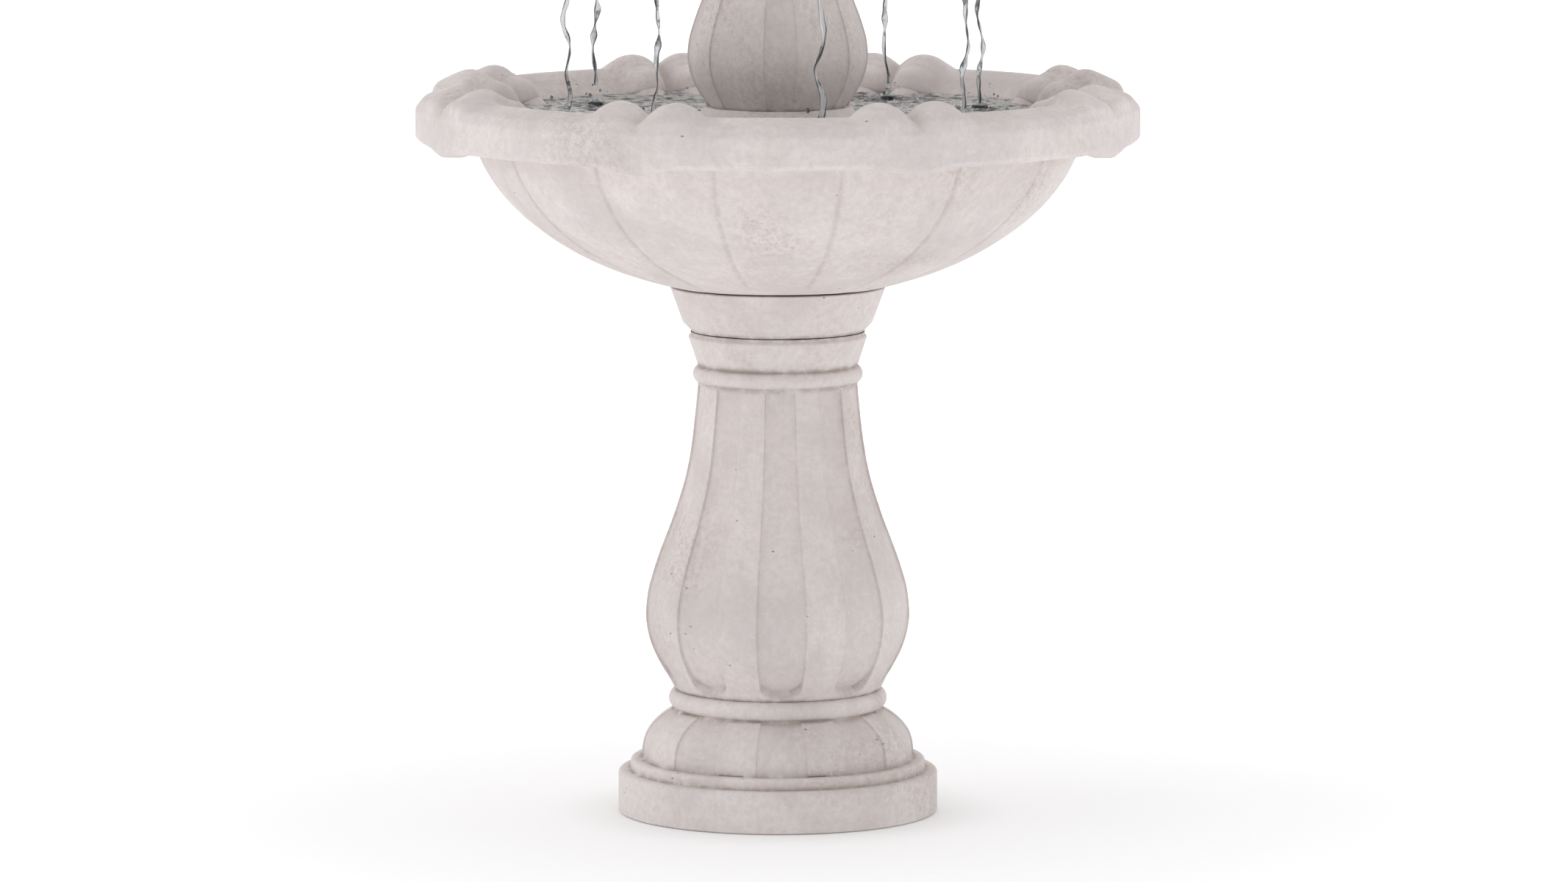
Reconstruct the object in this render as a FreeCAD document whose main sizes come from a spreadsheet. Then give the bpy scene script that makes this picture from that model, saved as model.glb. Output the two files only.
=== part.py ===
import FreeCAD, Part
import math
import os
import Sketcher

# Two-tier cast-stone bird bath that recirculates its water.
# Frame: millimetres, +Z up, origin on the ground under the axis, front towards -Y.
# Everything stone is turned about Z. The pump lies in the lower bowl with its shaft along X.

DIMENSIONS = {
    # pedestal base: plinth, step, fluted dome and collar bead
    "plinth_radius": 155.3, "plinth_low": 1.0, "plinth_top": 41.0, "step_radius": 143.3,
    "step_top": 52.0, "dome_foot_radius": 132.0, "dome_foot_top": 63.0, "dome_top_radius": 102.3,
    "dome_top": 101.2, "dome_bend": 46.0, "bead_seat_radius": 98.0, "bead_bend": 10.0,
    "base_top": 120.8, "edge_bend": 4.0, "bore_radius": 20.0, "cord_notch_width": 30.0,
    "cord_notch_height": 20.0,
    # fluted shaft, heights measured from its foot
    "vase_foot_radius": 100.0, "vase_belly_radius": 128.3, "vase_belly_rise": 74.2,
    "vase_hip_radius": 109.3, "vase_hip_rise": 147.2, "vase_top_radius": 77.2,
    "vase_top_rise": 297.2, "vase_foot_bend": 118.0, "vase_belly_bend": 190.0,
    "vase_neck_bend": 424.0, "ring_low_rise": 299.4, "ring_top_rise": 315.4, "ring_bend": 8.8,
    "neck_lip_radius": 86.6, "neck_lip_rise": 343.2, "shaft_rise": 349.7, "groove_radius": 84.5,
    "flute_depth": 3.0, "flute_angle": 21.5, "flute_low_rise": 8.0, "flute_foot_out": 3.0,
    "flute_clearance": 8.0, "dome_flute_low": 3.0, "dome_flute_high": 4.0, "groove_rise": 2.0,
    # capital, heights measured from its foot
    "capital_low_radius": 82.0, "capital_edge_radius": 91.6, "capital_edge_rise": 10.2,
    "capital_top_radius": 104.0, "capital_rise": 43.0, "capital_groove_rise": 2.0,
    "capital_groove_bend": 14.0, "capital_chamfer": 1.0,
    # spigots that centre one casting on the next
    "spigot_radius": 40.0, "spigot_rise": 8.0, "spigot_play": 1.0,
    # bowl, heights measured from its underside
    "bowl_seat_radius": 107.0, "bowl_spigot_radius": 38.0, "bowl_spigot_drop": 12.3,
    "bowl_bore_radius": 18.0, "bowl_floor_rise": 32.7, "bowl_floor_radius": 120.0,
    "bowl_belly_radius": 188.2, "bowl_belly_rise": 28.5, "bowl_foot_bend": 408.0,
    "bowl_wall_radius": 288.1, "bowl_wall_rise": 120.5, "bowl_wall_bend": 223.0,
    "rim_radius": 350.0, "rim_low_rise": 137.0, "rim_face_low_rise": 145.0,
    "rim_face_top_rise": 171.0, "rim_crest_radius": 316.0, "rim_crest_rise": 188.2,
    "rim_inner_radius": 285.0, "rim_inner_rise": 162.7, "bowl_inside_bend": 170.0,
    "tuck_out": 4.0, "tuck_up": 9.0, "under_out": 16.0, "under_down": 1.5, "rim_edge_in": 8.0,
    "rim_edge_bend": 8.0, "rim_slope_in": 10.0, "rim_slope_up": 11.0, "rim_slope_bend": 14.0,
    "crest_bend": 12.0, "crest_in": 10.0, "crest_down": 3.5, "inner_slope": 17.0,
    "lobe_half_width": 39.0, "lobe_half_length": 34.0, "lobe_half_height": 36.0,
    "lobe_height": 164.7, "lobe_spread": 5.1, "scallop_half_width": 38.0,
    "scallop_half_length": 14.0, "scallop_half_height": 16.0, "scallop_height": 152.7,
    "setting_gap": 1.8, "pad_radius": 11.0, "pad_ring": 75.0, "tier_pad_radius": 7.0,
    "tier_pad_ring": 50.0, "foot_pad_radius": 14.0, "foot_pad_ring": 120.0,
    "stopper_play": 0.2, "seal_radius": 16.0, "seal_thickness": 2.0,
    # pump cover: the drum that the upper column stands on, and its feet
    "cover_foot_radius": 95.0, "cover_wall_radius": 60.0, "cover_top": 688.0,
    "cover_waist_radius": 78.5, "cover_waist": 678.0, "cover_top_radius": 71.0,
    "cover_roof": 668.0, "inlet_width": 24.0, "inlet_height": 20.0,
    # upper tier
    "full_scale": 1.0, "column_scale": 0.68, "tier_scale": 0.6, "tier_turn": 11.5,
    # finial, heights measured from its foot
    "finial_rise": 156.0, "finial_socket_radius": 20.0, "finial_socket_rise": 5.0,
    "finial_foot_radius": 34.0, "finial_foot_rise": 9.0, "finial_foot_bend": 60.0,
    "finial_stem_radius": 16.0, "finial_stem_rise": 50.0, "finial_bead_low_rise": 56.0,
    "finial_bead_top_rise": 66.0, "finial_bead_bend": 6.0, "finial_flare_radius": 18.0,
    "finial_flare_rise": 72.0, "finial_flare_bend": 40.0, "finial_bulb_radius": 36.0,
    "finial_bulb_rise": 112.0, "finial_bulb_bend": 34.0, "finial_neck_radius": 20.0,
    "finial_neck_low_rise": 142.0, "finial_neck_top_rise": 144.0, "finial_neck_bend": 14.0,
    "finial_lip_radius": 27.0, "finial_lip_rise": 152.0, "finial_cup_radius": 14.0,
    # water line
    "tube_radius": 8.0, "tube_gap": 2.0, "tube_wall": 1.5, "tube_low": 618.0,
    "tube_top": 1110.0, "play": 0.3,
    # pump
    "pump_axis": 582.0, "casing_length": 56.0, "casing_width": 44.0, "casing_height": 50.0,
    "casing_low": 556.0, "casing_front": -6.0, "skin": 2.5, "chamber_radius": 17.0,
    "chamber_length": 12.0, "well_radius": 11.0, "well_end": 40.0, "well_skin": 1.5,
    "outlet_radius": 4.0, "outlet_rise": 10.0, "bulkhead": 3.0, "shaft_radius": 1.55,
    "shaft_play": 0.05, "shaft_start": -10.8, "shaft_length": 50.5, "rotor_radius": 10.4,
    "rotor_front": 9.0, "rotor_length": 28.0, "foot_radius": 7.0, "foot_top_radius": 3.5,
    # laminations and winding
    "stack_front": 16.0, "stack_length": 18.0, "stack_width": 36.0, "stack_height": 34.0,
    "stack_lift": 4.0, "window_width": 22.0, "window_height": 6.0, "coil_front": 13.0,
    "coil_length": 24.0, "coil_width": 18.0, "coil_height": 12.0, "coil_lift": 1.0,
    # impeller
    "impeller_radius": 14.0, "disc_front": 3.5, "disc_thickness": 2.0, "nose_front": -3.0,
    "nose_radius": 6.0, "nose_length": 12.0, "vane_length": 7.0, "vane_thickness": 1.4,
    "vane_play": 0.3,
    # chamber cover, its screws and its gasket
    "gasket_thickness": 1.0, "gasket_radius": 19.5, "plate_thickness": 4.0, "eye_radius": 9.0,
    "bar_length": 20.0, "bar_width": 4.4, "seat_radius": 4.5, "bush_radius": 3.0,
    "bush_length": 3.5, "rear_bush_radius": 5.0, "rear_bush_length": 2.4,
    "rear_bush_start": 37.6, "screw_inset": 3.5, "screw_radius": 1.5, "screw_hole_radius": 1.7,
    "screw_length": 6.0, "screw_head_radius": 2.8, "screw_head_height": 1.8,
    # strainer cage and flow regulator
    "cage_length": 20.0, "cage_inset": 4.0, "cage_rise": 7.0, "cage_wall": 2.0,
    "cage_slot_width": 1.5, "cage_slot_pitch": 3.0, "cage_slot_inset": 6.0,
    "pivot_radius": 3.2, "knob_radius": 7.0, "knob_thickness": 3.0, "knob_gap": 0.4,
    "stem_radius": 3.1, "stem_length": 6.0, "pointer_length": 11.0, "shutter_width": 20.0,
    "shutter_height": 8.0, "shutter_thickness": 1.6, "shutter_gap": 2.4,
    # cord gland, outlet and nozzle
    "cord_radius": 3.5, "gland_radius": 5.0, "gland_length": 7.0, "gland_drop": 16.0,
    "flange_radius": 9.0, "barb_grip": 18.0, "nozzle_radius": 13.7, "nozzle_depth": 6.0,
    "nozzle_rise": 8.0, "nozzle_stem": 14.0, "nozzle_fit": 1.7,
}

THROUGH = 1.0  # how far a cutting tool runs past the faces that it opens
STATOR_GAP = 0.1  # between the rotor well and the laminations
PUMP_FOOT_PLACES = [(0.0, -17.0), (0.0, 17.0), (44.0, -17.0), (44.0, 17.0)]
IMPELLER_VANES = 6
CAGE_SLOTS = 5
COVER_INLETS = 3
FIRST_INLET = 30.0
PEDESTAL_FLUTES = 9
FLUTE_START = -8.3
BOWL_LOBE_PAIRS = 8
LOBE_PAIR_START = 22.5
UP = FreeCAD.Vector(0, 0, 1)
ALONG_X = FreeCAD.Vector(1, 0, 0)

doc = FreeCAD.newDocument("BirdBath")
sheet = doc.addObject("Spreadsheet::Sheet", "Dims")
for row, (alias, value) in enumerate(DIMENSIONS.items(), start=1):
    sheet.set("A%d" % row, alias)
    sheet.set("B%d" % row, "%g" % value)
    sheet.setAlias("B%d" % row, alias)
doc.recompute()

nodes = []


class Size:
    """A size worked out from the sheet: its value now, and the expression that binds it."""

    def __init__(self, value, text):
        self.value = value
        self.text = text

    def combine(self, other, sign, value):
        return Size(value, "(%s %s %s)" % (self.text, sign, as_size(other).text))

    def __add__(self, other):
        return self.combine(other, "+", self.value + as_size(other).value)

    def __sub__(self, other):
        return self.combine(other, "-", self.value - as_size(other).value)

    def __mul__(self, other):
        return self.combine(other, "*", self.value * as_size(other).value)

    def __truediv__(self, other):
        return self.combine(other, "/", self.value / as_size(other).value)

    def __neg__(self):
        return Size(-self.value, "(-1 * %s)" % self.text)


def as_size(number):
    """A plain number as a Size, or a Size as it is."""
    if isinstance(number, Size):
        return number
    return Size(float(number), "%.6g" % number)


def dim(alias):
    """The sheet's value under this alias."""
    return Size(float(sheet.get(alias)), "Dims." + alias)


def bind(thing, prop, number):
    """Bind one property to the sheet."""
    thing.setExpression(prop, as_size(number).text)


def place(thing, x, y, z, rotation=None):
    """Put a primitive at a place bound to the sheet."""
    if rotation is not None:
        thing.Placement = FreeCAD.Placement(FreeCAD.Vector(0, 0, 0), rotation)
    for axis, number in zip("xyz", (x, y, z)):
        bind(thing, "Placement.Base." + axis, number)
    return thing


def round_about(ring, angle):
    """The x and y of a point on a ring about Z, at this angle from +X."""
    radians = math.radians(angle)
    return as_size(ring) * round(math.cos(radians), 9), as_size(ring) * round(math.sin(radians), 9)


def finish(thing, name):
    """Name a finished piece and list it as a node."""
    thing.Label = name
    nodes.append(thing)
    return thing


# ---------------------------------------------------------------- primitives and booleans

def block(name, low, sides):
    """A box from its lowest corner and its three sides."""
    box = doc.addObject("Part::Box", name)
    for prop, side in zip(("Length", "Width", "Height"), sides):
        bind(box, prop, side)
    return place(box, *low)


def rod(name, radius, length, foot, axis=UP):
    """A cylinder that starts at foot and runs along axis."""
    cylinder = doc.addObject("Part::Cylinder", name)
    bind(cylinder, "Radius", radius)
    bind(cylinder, "Height", length)
    return place(cylinder, *foot, rotation=FreeCAD.Rotation(UP, axis))


def fuse(name, *things):
    """Several shapes as one solid."""
    joined = doc.addObject("Part::MultiFuse", name)
    joined.Shapes = list(things)
    return joined


def cut(name, base, *tools):
    """A shape with every tool taken out of it."""
    result = doc.addObject("Part::Cut", name)
    result.Base = base
    result.Tool = tools[0] if len(tools) == 1 else fuse(name + "_tools", *tools)
    return result


def group(name, *things):
    """Separate solids kept as one node."""
    result = doc.addObject("Part::Compound", name)
    result.Links = list(things)
    return result


def pipe(name, radius, hole, length, foot, axis=UP):
    """A straight tube."""
    outside = rod(name + "_outside", radius, length, foot, axis)
    inside = rod(name + "_inside", hole, length, foot, axis)
    return cut(name, outside, inside)


# ---------------------------------------------------------------- turned pieces

def origin_plane(body, role):
    """One of a body's own origin planes."""
    return next(plane for plane in body.Origin.OriginFeatures if plane.Role == role)


def arc_between(start, end, bend):
    """The shorter arc from start to end. A positive bend swells out, a negative one is hollow."""
    chord = end - start
    side = FreeCAD.Vector(-chord.y, chord.x, 0).normalize()
    depth = math.sqrt(bend * bend - chord.Length ** 2 / 4)
    centre = (start + end) * 0.5 + side * math.copysign(depth, bend)
    first, last = (start, end) if bend > 0 else (end, start)
    from_angle = math.atan2(first.y - centre.y, first.x - centre.x)
    to_angle = math.atan2(last.y - centre.y, last.x - centre.x)
    circle = Part.Circle(centre, UP, abs(bend))
    return Part.ArcOfCircle(circle, from_angle, to_angle)


def outline(body, name, corners, turn=0.0):
    """A closed outline in the half plane through the axis, turned about Z from +X.

    Corners run anticlockwise as (radius, height) or (radius, height, bend), where bend is the
    radius of the arc to the next corner.
    """
    sketch = body.newObject("Sketcher::SketchObject", name)
    sketch.AttachmentSupport = [(origin_plane(body, "XZ_Plane"), "")]
    sketch.MapMode = "FlatFace"
    swing = FreeCAD.Rotation(FreeCAD.Vector(0, 1, 0), turn)
    sketch.AttachmentOffset = FreeCAD.Placement(FreeCAD.Vector(0, 0, 0), swing)
    points = [FreeCAD.Vector(as_size(c[0]).value, as_size(c[1]).value, 0) for c in corners]
    starts = []
    ends = []
    for index, corner in enumerate(corners):
        start = points[index]
        end = points[(index + 1) % len(points)]
        bend = as_size(corner[2]).value if len(corner) == 3 else 0.0
        if bend:
            geometry = sketch.addGeometry(arc_between(start, end, bend), False)
            size = as_size(corner[2]) if bend > 0 else -as_size(corner[2])
            rule = sketch.addConstraint(Sketcher.Constraint("Radius", geometry, abs(bend)))
            sketch.setExpression("Constraints[%d]" % rule, size.text)
        else:
            geometry = sketch.addGeometry(Part.LineSegment(start, end), False)
        starts.append((geometry, 1 if bend >= 0 else 2))
        ends.append((geometry, 2 if bend >= 0 else 1))
    for index, corner in enumerate(corners):
        joint = starts[index]
        sketch.addConstraint(Sketcher.Constraint("Coincident", *ends[index - 1], *joint))
        for kind, number in (("DistanceX", corner[0]), ("DistanceY", corner[1])):
            size = as_size(number)
            rule = sketch.addConstraint(Sketcher.Constraint(kind, -1, 1, *joint, size.value))
            sketch.setExpression("Constraints[%d]" % rule, size.text)
    return sketch


def turned(name, corners):
    """A body turned about Z."""
    body = doc.addObject("PartDesign::Body", name)
    sketch = outline(body, name + "_outline", corners)
    revolution = body.newObject("PartDesign::Revolution", name + "_turning")
    revolution.Profile = sketch
    revolution.ReferenceAxis = (sketch, ["V_Axis"])
    revolution.Angle = 360.0
    sketch.Visibility = False
    return body


def fluted(body, corners):
    """Sink evenly spaced flutes, of this outline, into a turned body."""
    doc.recompute()
    before = body.Shape.Volume
    name = body.Name
    sketch = outline(body, name + "_flute", corners, turn=FLUTE_START)
    groove = body.newObject("PartDesign::Groove", name + "_groove")
    groove.Profile = sketch
    groove.ReferenceAxis = (sketch, ["V_Axis"])
    bind(groove, "Angle", dim("flute_angle"))
    groove.Midplane = True
    pattern = body.newObject("PartDesign::PolarPattern", name + "_flutes")
    pattern.Originals = [groove]
    pattern.Axis = (sketch, ["V_Axis"])
    pattern.Angle = 360.0
    pattern.Occurrences = PEDESTAL_FLUTES
    body.Tip = pattern
    doc.recompute()
    if body.Shape.Volume >= before:
        raise RuntimeError(name + ": the flutes cut nothing")
    return body


# ---------------------------------------------------------------- pedestal

def pedestal_base():
    """Plinth, step, fluted dome and collar bead in one casting, with the cord's way out."""
    bore = dim("bore_radius")
    low = dim("plinth_low")
    edge = dim("edge_bend")
    plinth_top = dim("plinth_top")
    step_top = dim("step_top")
    dome_foot = dim("dome_foot_radius")
    top = dim("base_top")
    spigot = dim("spigot_radius")
    body = turned("pedestal_base_casting", [
        (bore, low),
        (dim("plinth_radius"), low),
        (dim("plinth_radius"), plinth_top - edge, edge),
        (dim("plinth_radius") - edge, plinth_top),
        (dim("step_radius"), plinth_top),
        (dim("step_radius"), step_top - edge, edge),
        (dim("step_radius") - edge, step_top),
        (dome_foot, step_top),
        (dome_foot, dim("dome_foot_top"), dim("dome_bend")),
        (dim("dome_top_radius"), dim("dome_top")),
        (dim("bead_seat_radius"), dim("dome_top"), dim("bead_bend")),
        (dim("bead_seat_radius"), top),
        (spigot, top),
        (spigot, top + dim("spigot_rise")),
        (bore, top + dim("spigot_rise")),
    ])
    sunk = dim("flute_depth")
    clear = dome_foot + dim("flute_clearance")
    flute_low = step_top + dim("dome_flute_low")
    flute_high = dim("dome_top") - dim("dome_flute_high")
    fluted(body, [
        (dome_foot - sunk, flute_low),
        (clear, flute_low),
        (clear, flute_high),
        (dim("dome_top_radius") + dim("dome_flute_high") - sunk, flute_high, -dim("dome_bend")),
        (dome_foot - sunk, dim("dome_foot_top")),
    ])
    width = dim("cord_notch_width")
    notch = block("cord_notch", (-width / 2, 0.0, 0.0),
                  (width, dim("plinth_radius") + THROUGH, dim("cord_notch_height")))
    return cut("pedestal_base", body, notch)


def shaft(name, foot, scale):
    """Fluted vase, bead ring and lower neck in one casting."""
    def radius(alias):
        return dim(alias) * scale

    def height(alias):
        return foot + dim(alias) * scale

    hollow = (dim("spigot_radius") + dim("spigot_play")) * scale
    hollow_top = foot + (dim("spigot_rise") + dim("spigot_play")) * scale
    bore = radius("bore_radius")
    top = height("shaft_rise")
    lip = radius("neck_lip_radius")
    body = turned(name, [
        (hollow, foot),
        (radius("vase_foot_radius"), foot, radius("vase_foot_bend")),
        (radius("vase_belly_radius"), height("vase_belly_rise"), radius("vase_belly_bend")),
        (radius("vase_hip_radius"), height("vase_hip_rise"), -radius("vase_neck_bend")),
        (radius("vase_top_radius"), height("vase_top_rise")),
        (radius("vase_top_radius"), height("ring_low_rise"), radius("ring_bend")),
        (radius("vase_top_radius"), height("ring_top_rise")),
        (lip, height("neck_lip_rise")),
        (radius("groove_radius"), top - radius("groove_rise")),
        (radius("groove_radius"), top),
        (radius("spigot_radius"), top),
        (radius("spigot_radius"), top + dim("spigot_rise") * scale),
        (bore, top + dim("spigot_rise") * scale),
        (bore, hollow_top),
        (hollow, hollow_top),
    ])
    sunk = dim("flute_depth") * scale
    clear = radius("vase_belly_radius") + dim("flute_clearance")
    low = height("flute_low_rise")
    return fluted(body, [
        (radius("vase_foot_radius") + radius("flute_foot_out") - sunk, low),
        (clear, low),
        (clear, height("vase_top_rise")),
        (radius("vase_top_radius") - sunk, height("vase_top_rise"), radius("vase_neck_bend")),
        (radius("vase_hip_radius") - sunk, height("vase_hip_rise"), -radius("vase_belly_bend")),
        (radius("vase_belly_radius") - sunk, height("vase_belly_rise"),
         -radius("vase_foot_bend")),
    ])


def capital(name, foot, scale):
    """Upper neck, a ring whose bore takes the shaft's spigot below and the bowl's above."""
    bore = (dim("spigot_radius") + dim("spigot_play")) * scale
    top = foot + dim("capital_rise") * scale
    chamfer = dim("capital_chamfer")
    return turned(name, [
        (bore, foot),
        (dim("capital_low_radius") * scale, foot),
        (dim("groove_radius") * scale, foot + dim("capital_groove_rise") * scale,
         dim("capital_groove_bend") * scale),
        (dim("capital_edge_radius") * scale, foot + dim("capital_edge_rise") * scale),
        (dim("capital_top_radius") * scale, top - chamfer),
        (dim("capital_top_radius") * scale - chamfer, top),
        (bore, top),
    ])


def pads(name, count, radius, ring, low, thickness, start):
    """Rubber discs in a ring."""
    discs = []
    for index in range(count):
        x, y = round_about(ring, start + 360.0 * index / count)
        discs.append(rod("%s_%d" % (name, index + 1), radius, thickness, (x, y, low)))
    return group(name, *discs)


# ---------------------------------------------------------------- bowls

def ellipsoid(name, ring, angle, height, half_sizes):
    """An ellipsoid on a ring about Z. Its half sizes are radial, round the ring, and up."""
    ball = doc.addObject("Part::Ellipsoid", name)
    for prop, half in zip(("Radius2", "Radius3", "Radius1"), half_sizes):
        bind(ball, prop, half)
    ball.Angle1 = -90.0
    ball.Angle2 = 90.0
    ball.Angle3 = 360.0
    x, y = round_about(ring, angle)
    return place(ball, x, y, height, rotation=FreeCAD.Rotation(UP, angle))


def bowl(name, low, scale, turn):
    """Bowl with a heavy rim that carries pairs of lobes, scalloped under each pair."""
    def radius(alias):
        return dim(alias) * scale

    def height(alias):
        return low + dim(alias) * scale

    bore = radius("bowl_bore_radius")
    spigot_low = low - dim("bowl_spigot_drop") * scale
    crest = radius("rim_crest_radius")
    crest_height = height("rim_crest_rise")
    rim = radius("rim_radius")
    body = turned(name + "_casting", [
        (bore, spigot_low),
        (radius("bowl_spigot_radius"), spigot_low),
        (radius("bowl_spigot_radius"), low),
        (radius("bowl_seat_radius"), low, radius("bowl_foot_bend")),
        (radius("bowl_belly_radius"), height("bowl_belly_rise"), radius("bowl_wall_bend")),
        (radius("bowl_wall_radius"), height("bowl_wall_rise")),
        (radius("bowl_wall_radius") + radius("tuck_out"),
         height("bowl_wall_rise") + radius("tuck_up")),
        (radius("bowl_wall_radius") + radius("under_out"),
         height("rim_low_rise") - radius("under_down")),
        (rim - radius("rim_edge_in"), height("rim_low_rise"), radius("rim_edge_bend")),
        (rim, height("rim_face_low_rise")),
        (rim, height("rim_face_top_rise"), radius("rim_slope_bend")),
        (rim - radius("rim_slope_in"), height("rim_face_top_rise") + radius("rim_slope_up")),
        (crest, crest_height, radius("crest_bend")),
        (crest - radius("crest_in"), crest_height - radius("crest_down")),
        (radius("rim_inner_radius"), height("rim_inner_rise")),
        (radius("rim_inner_radius") - radius("inner_slope"),
         height("rim_inner_rise") - radius("inner_slope"), -radius("bowl_inside_bend")),
        (radius("bowl_floor_radius"), height("bowl_floor_rise")),
        (bore, height("bowl_floor_rise")),
    ])
    bumps = []
    for pair in range(BOWL_LOBE_PAIRS):
        middle = LOBE_PAIR_START + turn + pair * 360.0 / BOWL_LOBE_PAIRS
        bumps.append(ellipsoid(
            "%s_scallop_%d" % (name, pair + 1), rim - dim("scallop_half_length") * scale, middle,
            height("scallop_height"),
            (radius("scallop_half_length"), radius("scallop_half_width"),
             radius("scallop_half_height"))))
        for side in (-1, 1):
            bumps.append(ellipsoid(
                "%s_lobe_%d_%s" % (name, pair + 1, "left" if side < 0 else "right"),
                crest, middle + side * dim("lobe_spread").value, height("lobe_height"),
                (radius("lobe_half_length"), radius("lobe_half_width"),
                 radius("lobe_half_height"))))
    return fuse(name, body, *bumps)


def pump_cover(foot):
    """Hollow drum that hides the pump and carries the upper column."""
    wall = dim("cover_wall_radius")
    bore = dim("tube_radius") + dim("tube_gap")
    top = dim("cover_top")
    spigot = dim("spigot_radius") * dim("column_scale")
    spigot_top = top + dim("spigot_rise") * dim("column_scale")
    return turned("pump_cover", [
        (wall, foot),
        (dim("cover_foot_radius"), foot),
        (dim("cover_waist_radius"), dim("cover_waist")),
        (dim("cover_top_radius"), top),
        (spigot, top),
        (spigot, spigot_top),
        (bore, spigot_top),
        (bore, dim("cover_roof")),
        (wall, dim("cover_roof")),
    ])


def cover_feet(floor):
    """Six feet under the pump cover. Water reaches the pump through the gaps between them."""
    ring = pipe("cover_foot_ring", dim("cover_foot_radius"), dim("cover_wall_radius"),
                dim("inlet_height"), (0.0, 0.0, floor))
    reach = dim("cover_foot_radius") * 2 + THROUGH * 2
    gaps = []
    for index in range(COVER_INLETS):
        gap = doc.addObject("Part::Box", "inlet_%d" % (index + 1))
        bind(gap, "Length", reach)
        bind(gap, "Width", dim("inlet_width"))
        bind(gap, "Height", dim("inlet_height") + THROUGH * 2)
        turn = FreeCAD.Rotation(UP, FIRST_INLET + 180.0 * index / COVER_INLETS)
        corner = turn.multVec(FreeCAD.Vector(-reach.value / 2, -dim("inlet_width").value / 2, 0))
        place(gap, corner.x, corner.y, floor - THROUGH, rotation=turn)
        gaps.append(gap)
    return cut("pump_cover_feet", ring, *gaps)


def finial(foot):
    """Turned top piece that the water wells out of."""
    bore = dim("tube_radius") + dim("tube_gap")
    top = foot + dim("finial_rise")
    socket = dim("finial_socket_radius")
    socket_roof = foot + dim("finial_socket_rise")
    cup_floor = top - dim("nozzle_depth")
    return turned("finial", [
        (socket, foot),
        (dim("finial_foot_radius"), foot),
        (dim("finial_foot_radius"), foot + dim("finial_foot_rise"), -dim("finial_foot_bend")),
        (dim("finial_stem_radius"), foot + dim("finial_stem_rise")),
        (dim("finial_stem_radius"), foot + dim("finial_bead_low_rise"), dim("finial_bead_bend")),
        (dim("finial_stem_radius"), foot + dim("finial_bead_top_rise")),
        (dim("finial_flare_radius"), foot + dim("finial_flare_rise"), dim("finial_flare_bend")),
        (dim("finial_bulb_radius"), foot + dim("finial_bulb_rise"), dim("finial_bulb_bend")),
        (dim("finial_neck_radius"), foot + dim("finial_neck_low_rise")),
        (dim("finial_neck_radius"), foot + dim("finial_neck_top_rise"), -dim("finial_neck_bend")),
        (dim("finial_lip_radius"), foot + dim("finial_lip_rise")),
        (dim("finial_lip_radius"), top),
        (dim("finial_cup_radius"), top),
        (dim("finial_cup_radius"), cup_floor),
        (bore, cup_floor),
        (bore, socket_roof),
        (socket, socket_roof),
    ])


# ---------------------------------------------------------------- pump

def casing():
    """Moulded pump casing: impeller chamber in front, rotor well, and a bay for the motor."""
    front = dim("casing_front")
    low = dim("casing_low")
    axis = dim("pump_axis")
    width = dim("casing_width")
    shell = block("casing_shell", (front, -width / 2, low),
                  (dim("casing_length"), width, dim("casing_height")))
    bay = block("motor_bay", motor_bay_corner(), motor_bay_sides())
    well = rod("well", dim("well_radius"), dim("well_end"), (0.0, 0.0, axis), ALONG_X)
    chamber = rod("chamber", dim("chamber_radius"), dim("chamber_length"),
                  (front, 0.0, axis), ALONG_X)
    outlet = rod("outlet_way", dim("outlet_radius"), dim("casing_height"),
                 (0.0, 0.0, axis + dim("outlet_rise")))
    hollowed = cut("casing_hollowed", shell, bay)
    walled = fuse("casing_with_well", hollowed, well_outside("well_wall"))
    return cut("pump_casing", walled, well, chamber, outlet)


def well_outside(name):
    """The outside of the rotor well, which closes its far end."""
    return rod(name, dim("well_radius") + dim("well_skin"), dim("well_end") + dim("well_skin"),
               (0.0, 0.0, dim("pump_axis")), ALONG_X)


def motor_bay_corner():
    """Lowest corner of the bay under and round the rotor well."""
    return (dim("casing_front") + dim("chamber_length") + dim("bulkhead"),
            -dim("casing_width") / 2 + dim("skin"), dim("casing_low"))


def motor_bay_sides():
    """Sides of the bay, which is open underneath."""
    skin = dim("skin")
    return (dim("casing_length") - dim("chamber_length") - dim("bulkhead") - skin,
            dim("casing_width") - skin * 2, dim("casing_height") - skin)


def stator():
    """C-shaped lamination stack, open upwards round the rotor well."""
    front = dim("stack_front")
    foot = dim("casing_low") + dim("stack_lift")
    length = dim("stack_length") + THROUGH * 2
    stack = block("stator_stack", (front, -dim("stack_width") / 2, foot),
                  (dim("stack_length"), dim("stack_width"), dim("stack_height")))
    gap = rod("stator_gap", dim("well_radius") + dim("well_skin") + STATOR_GAP, length,
              (front - THROUGH, 0.0, dim("pump_axis")), ALONG_X)
    window = block("stator_window",
                   (front - THROUGH, -dim("window_width") / 2, foot + dim("window_height")),
                   (length, dim("window_width"), dim("window_height")))
    return cut("stator_core", stack, gap, window)


def coil():
    """Winding on the lower limb of the laminations."""
    low = dim("casing_low")
    winding = block("coil_winding",
                    (dim("coil_front"), -dim("coil_width") / 2, low + dim("coil_lift")),
                    (dim("coil_length"), dim("coil_width"), dim("coil_height")))
    limb = block("coil_limb",
                 (dim("stack_front"), -dim("stack_width") / 2, low + dim("stack_lift")),
                 (dim("stack_length"), dim("stack_width"), dim("window_height")))
    return cut("motor_coil", winding, limb)


def potting(core, winding):
    """Resin that fills the motor bay round the laminations and the winding."""
    fill = block("potting_fill", motor_bay_corner(), motor_bay_sides())
    return cut("motor_potting", fill, well_outside("potting_well"), core, winding)


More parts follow.
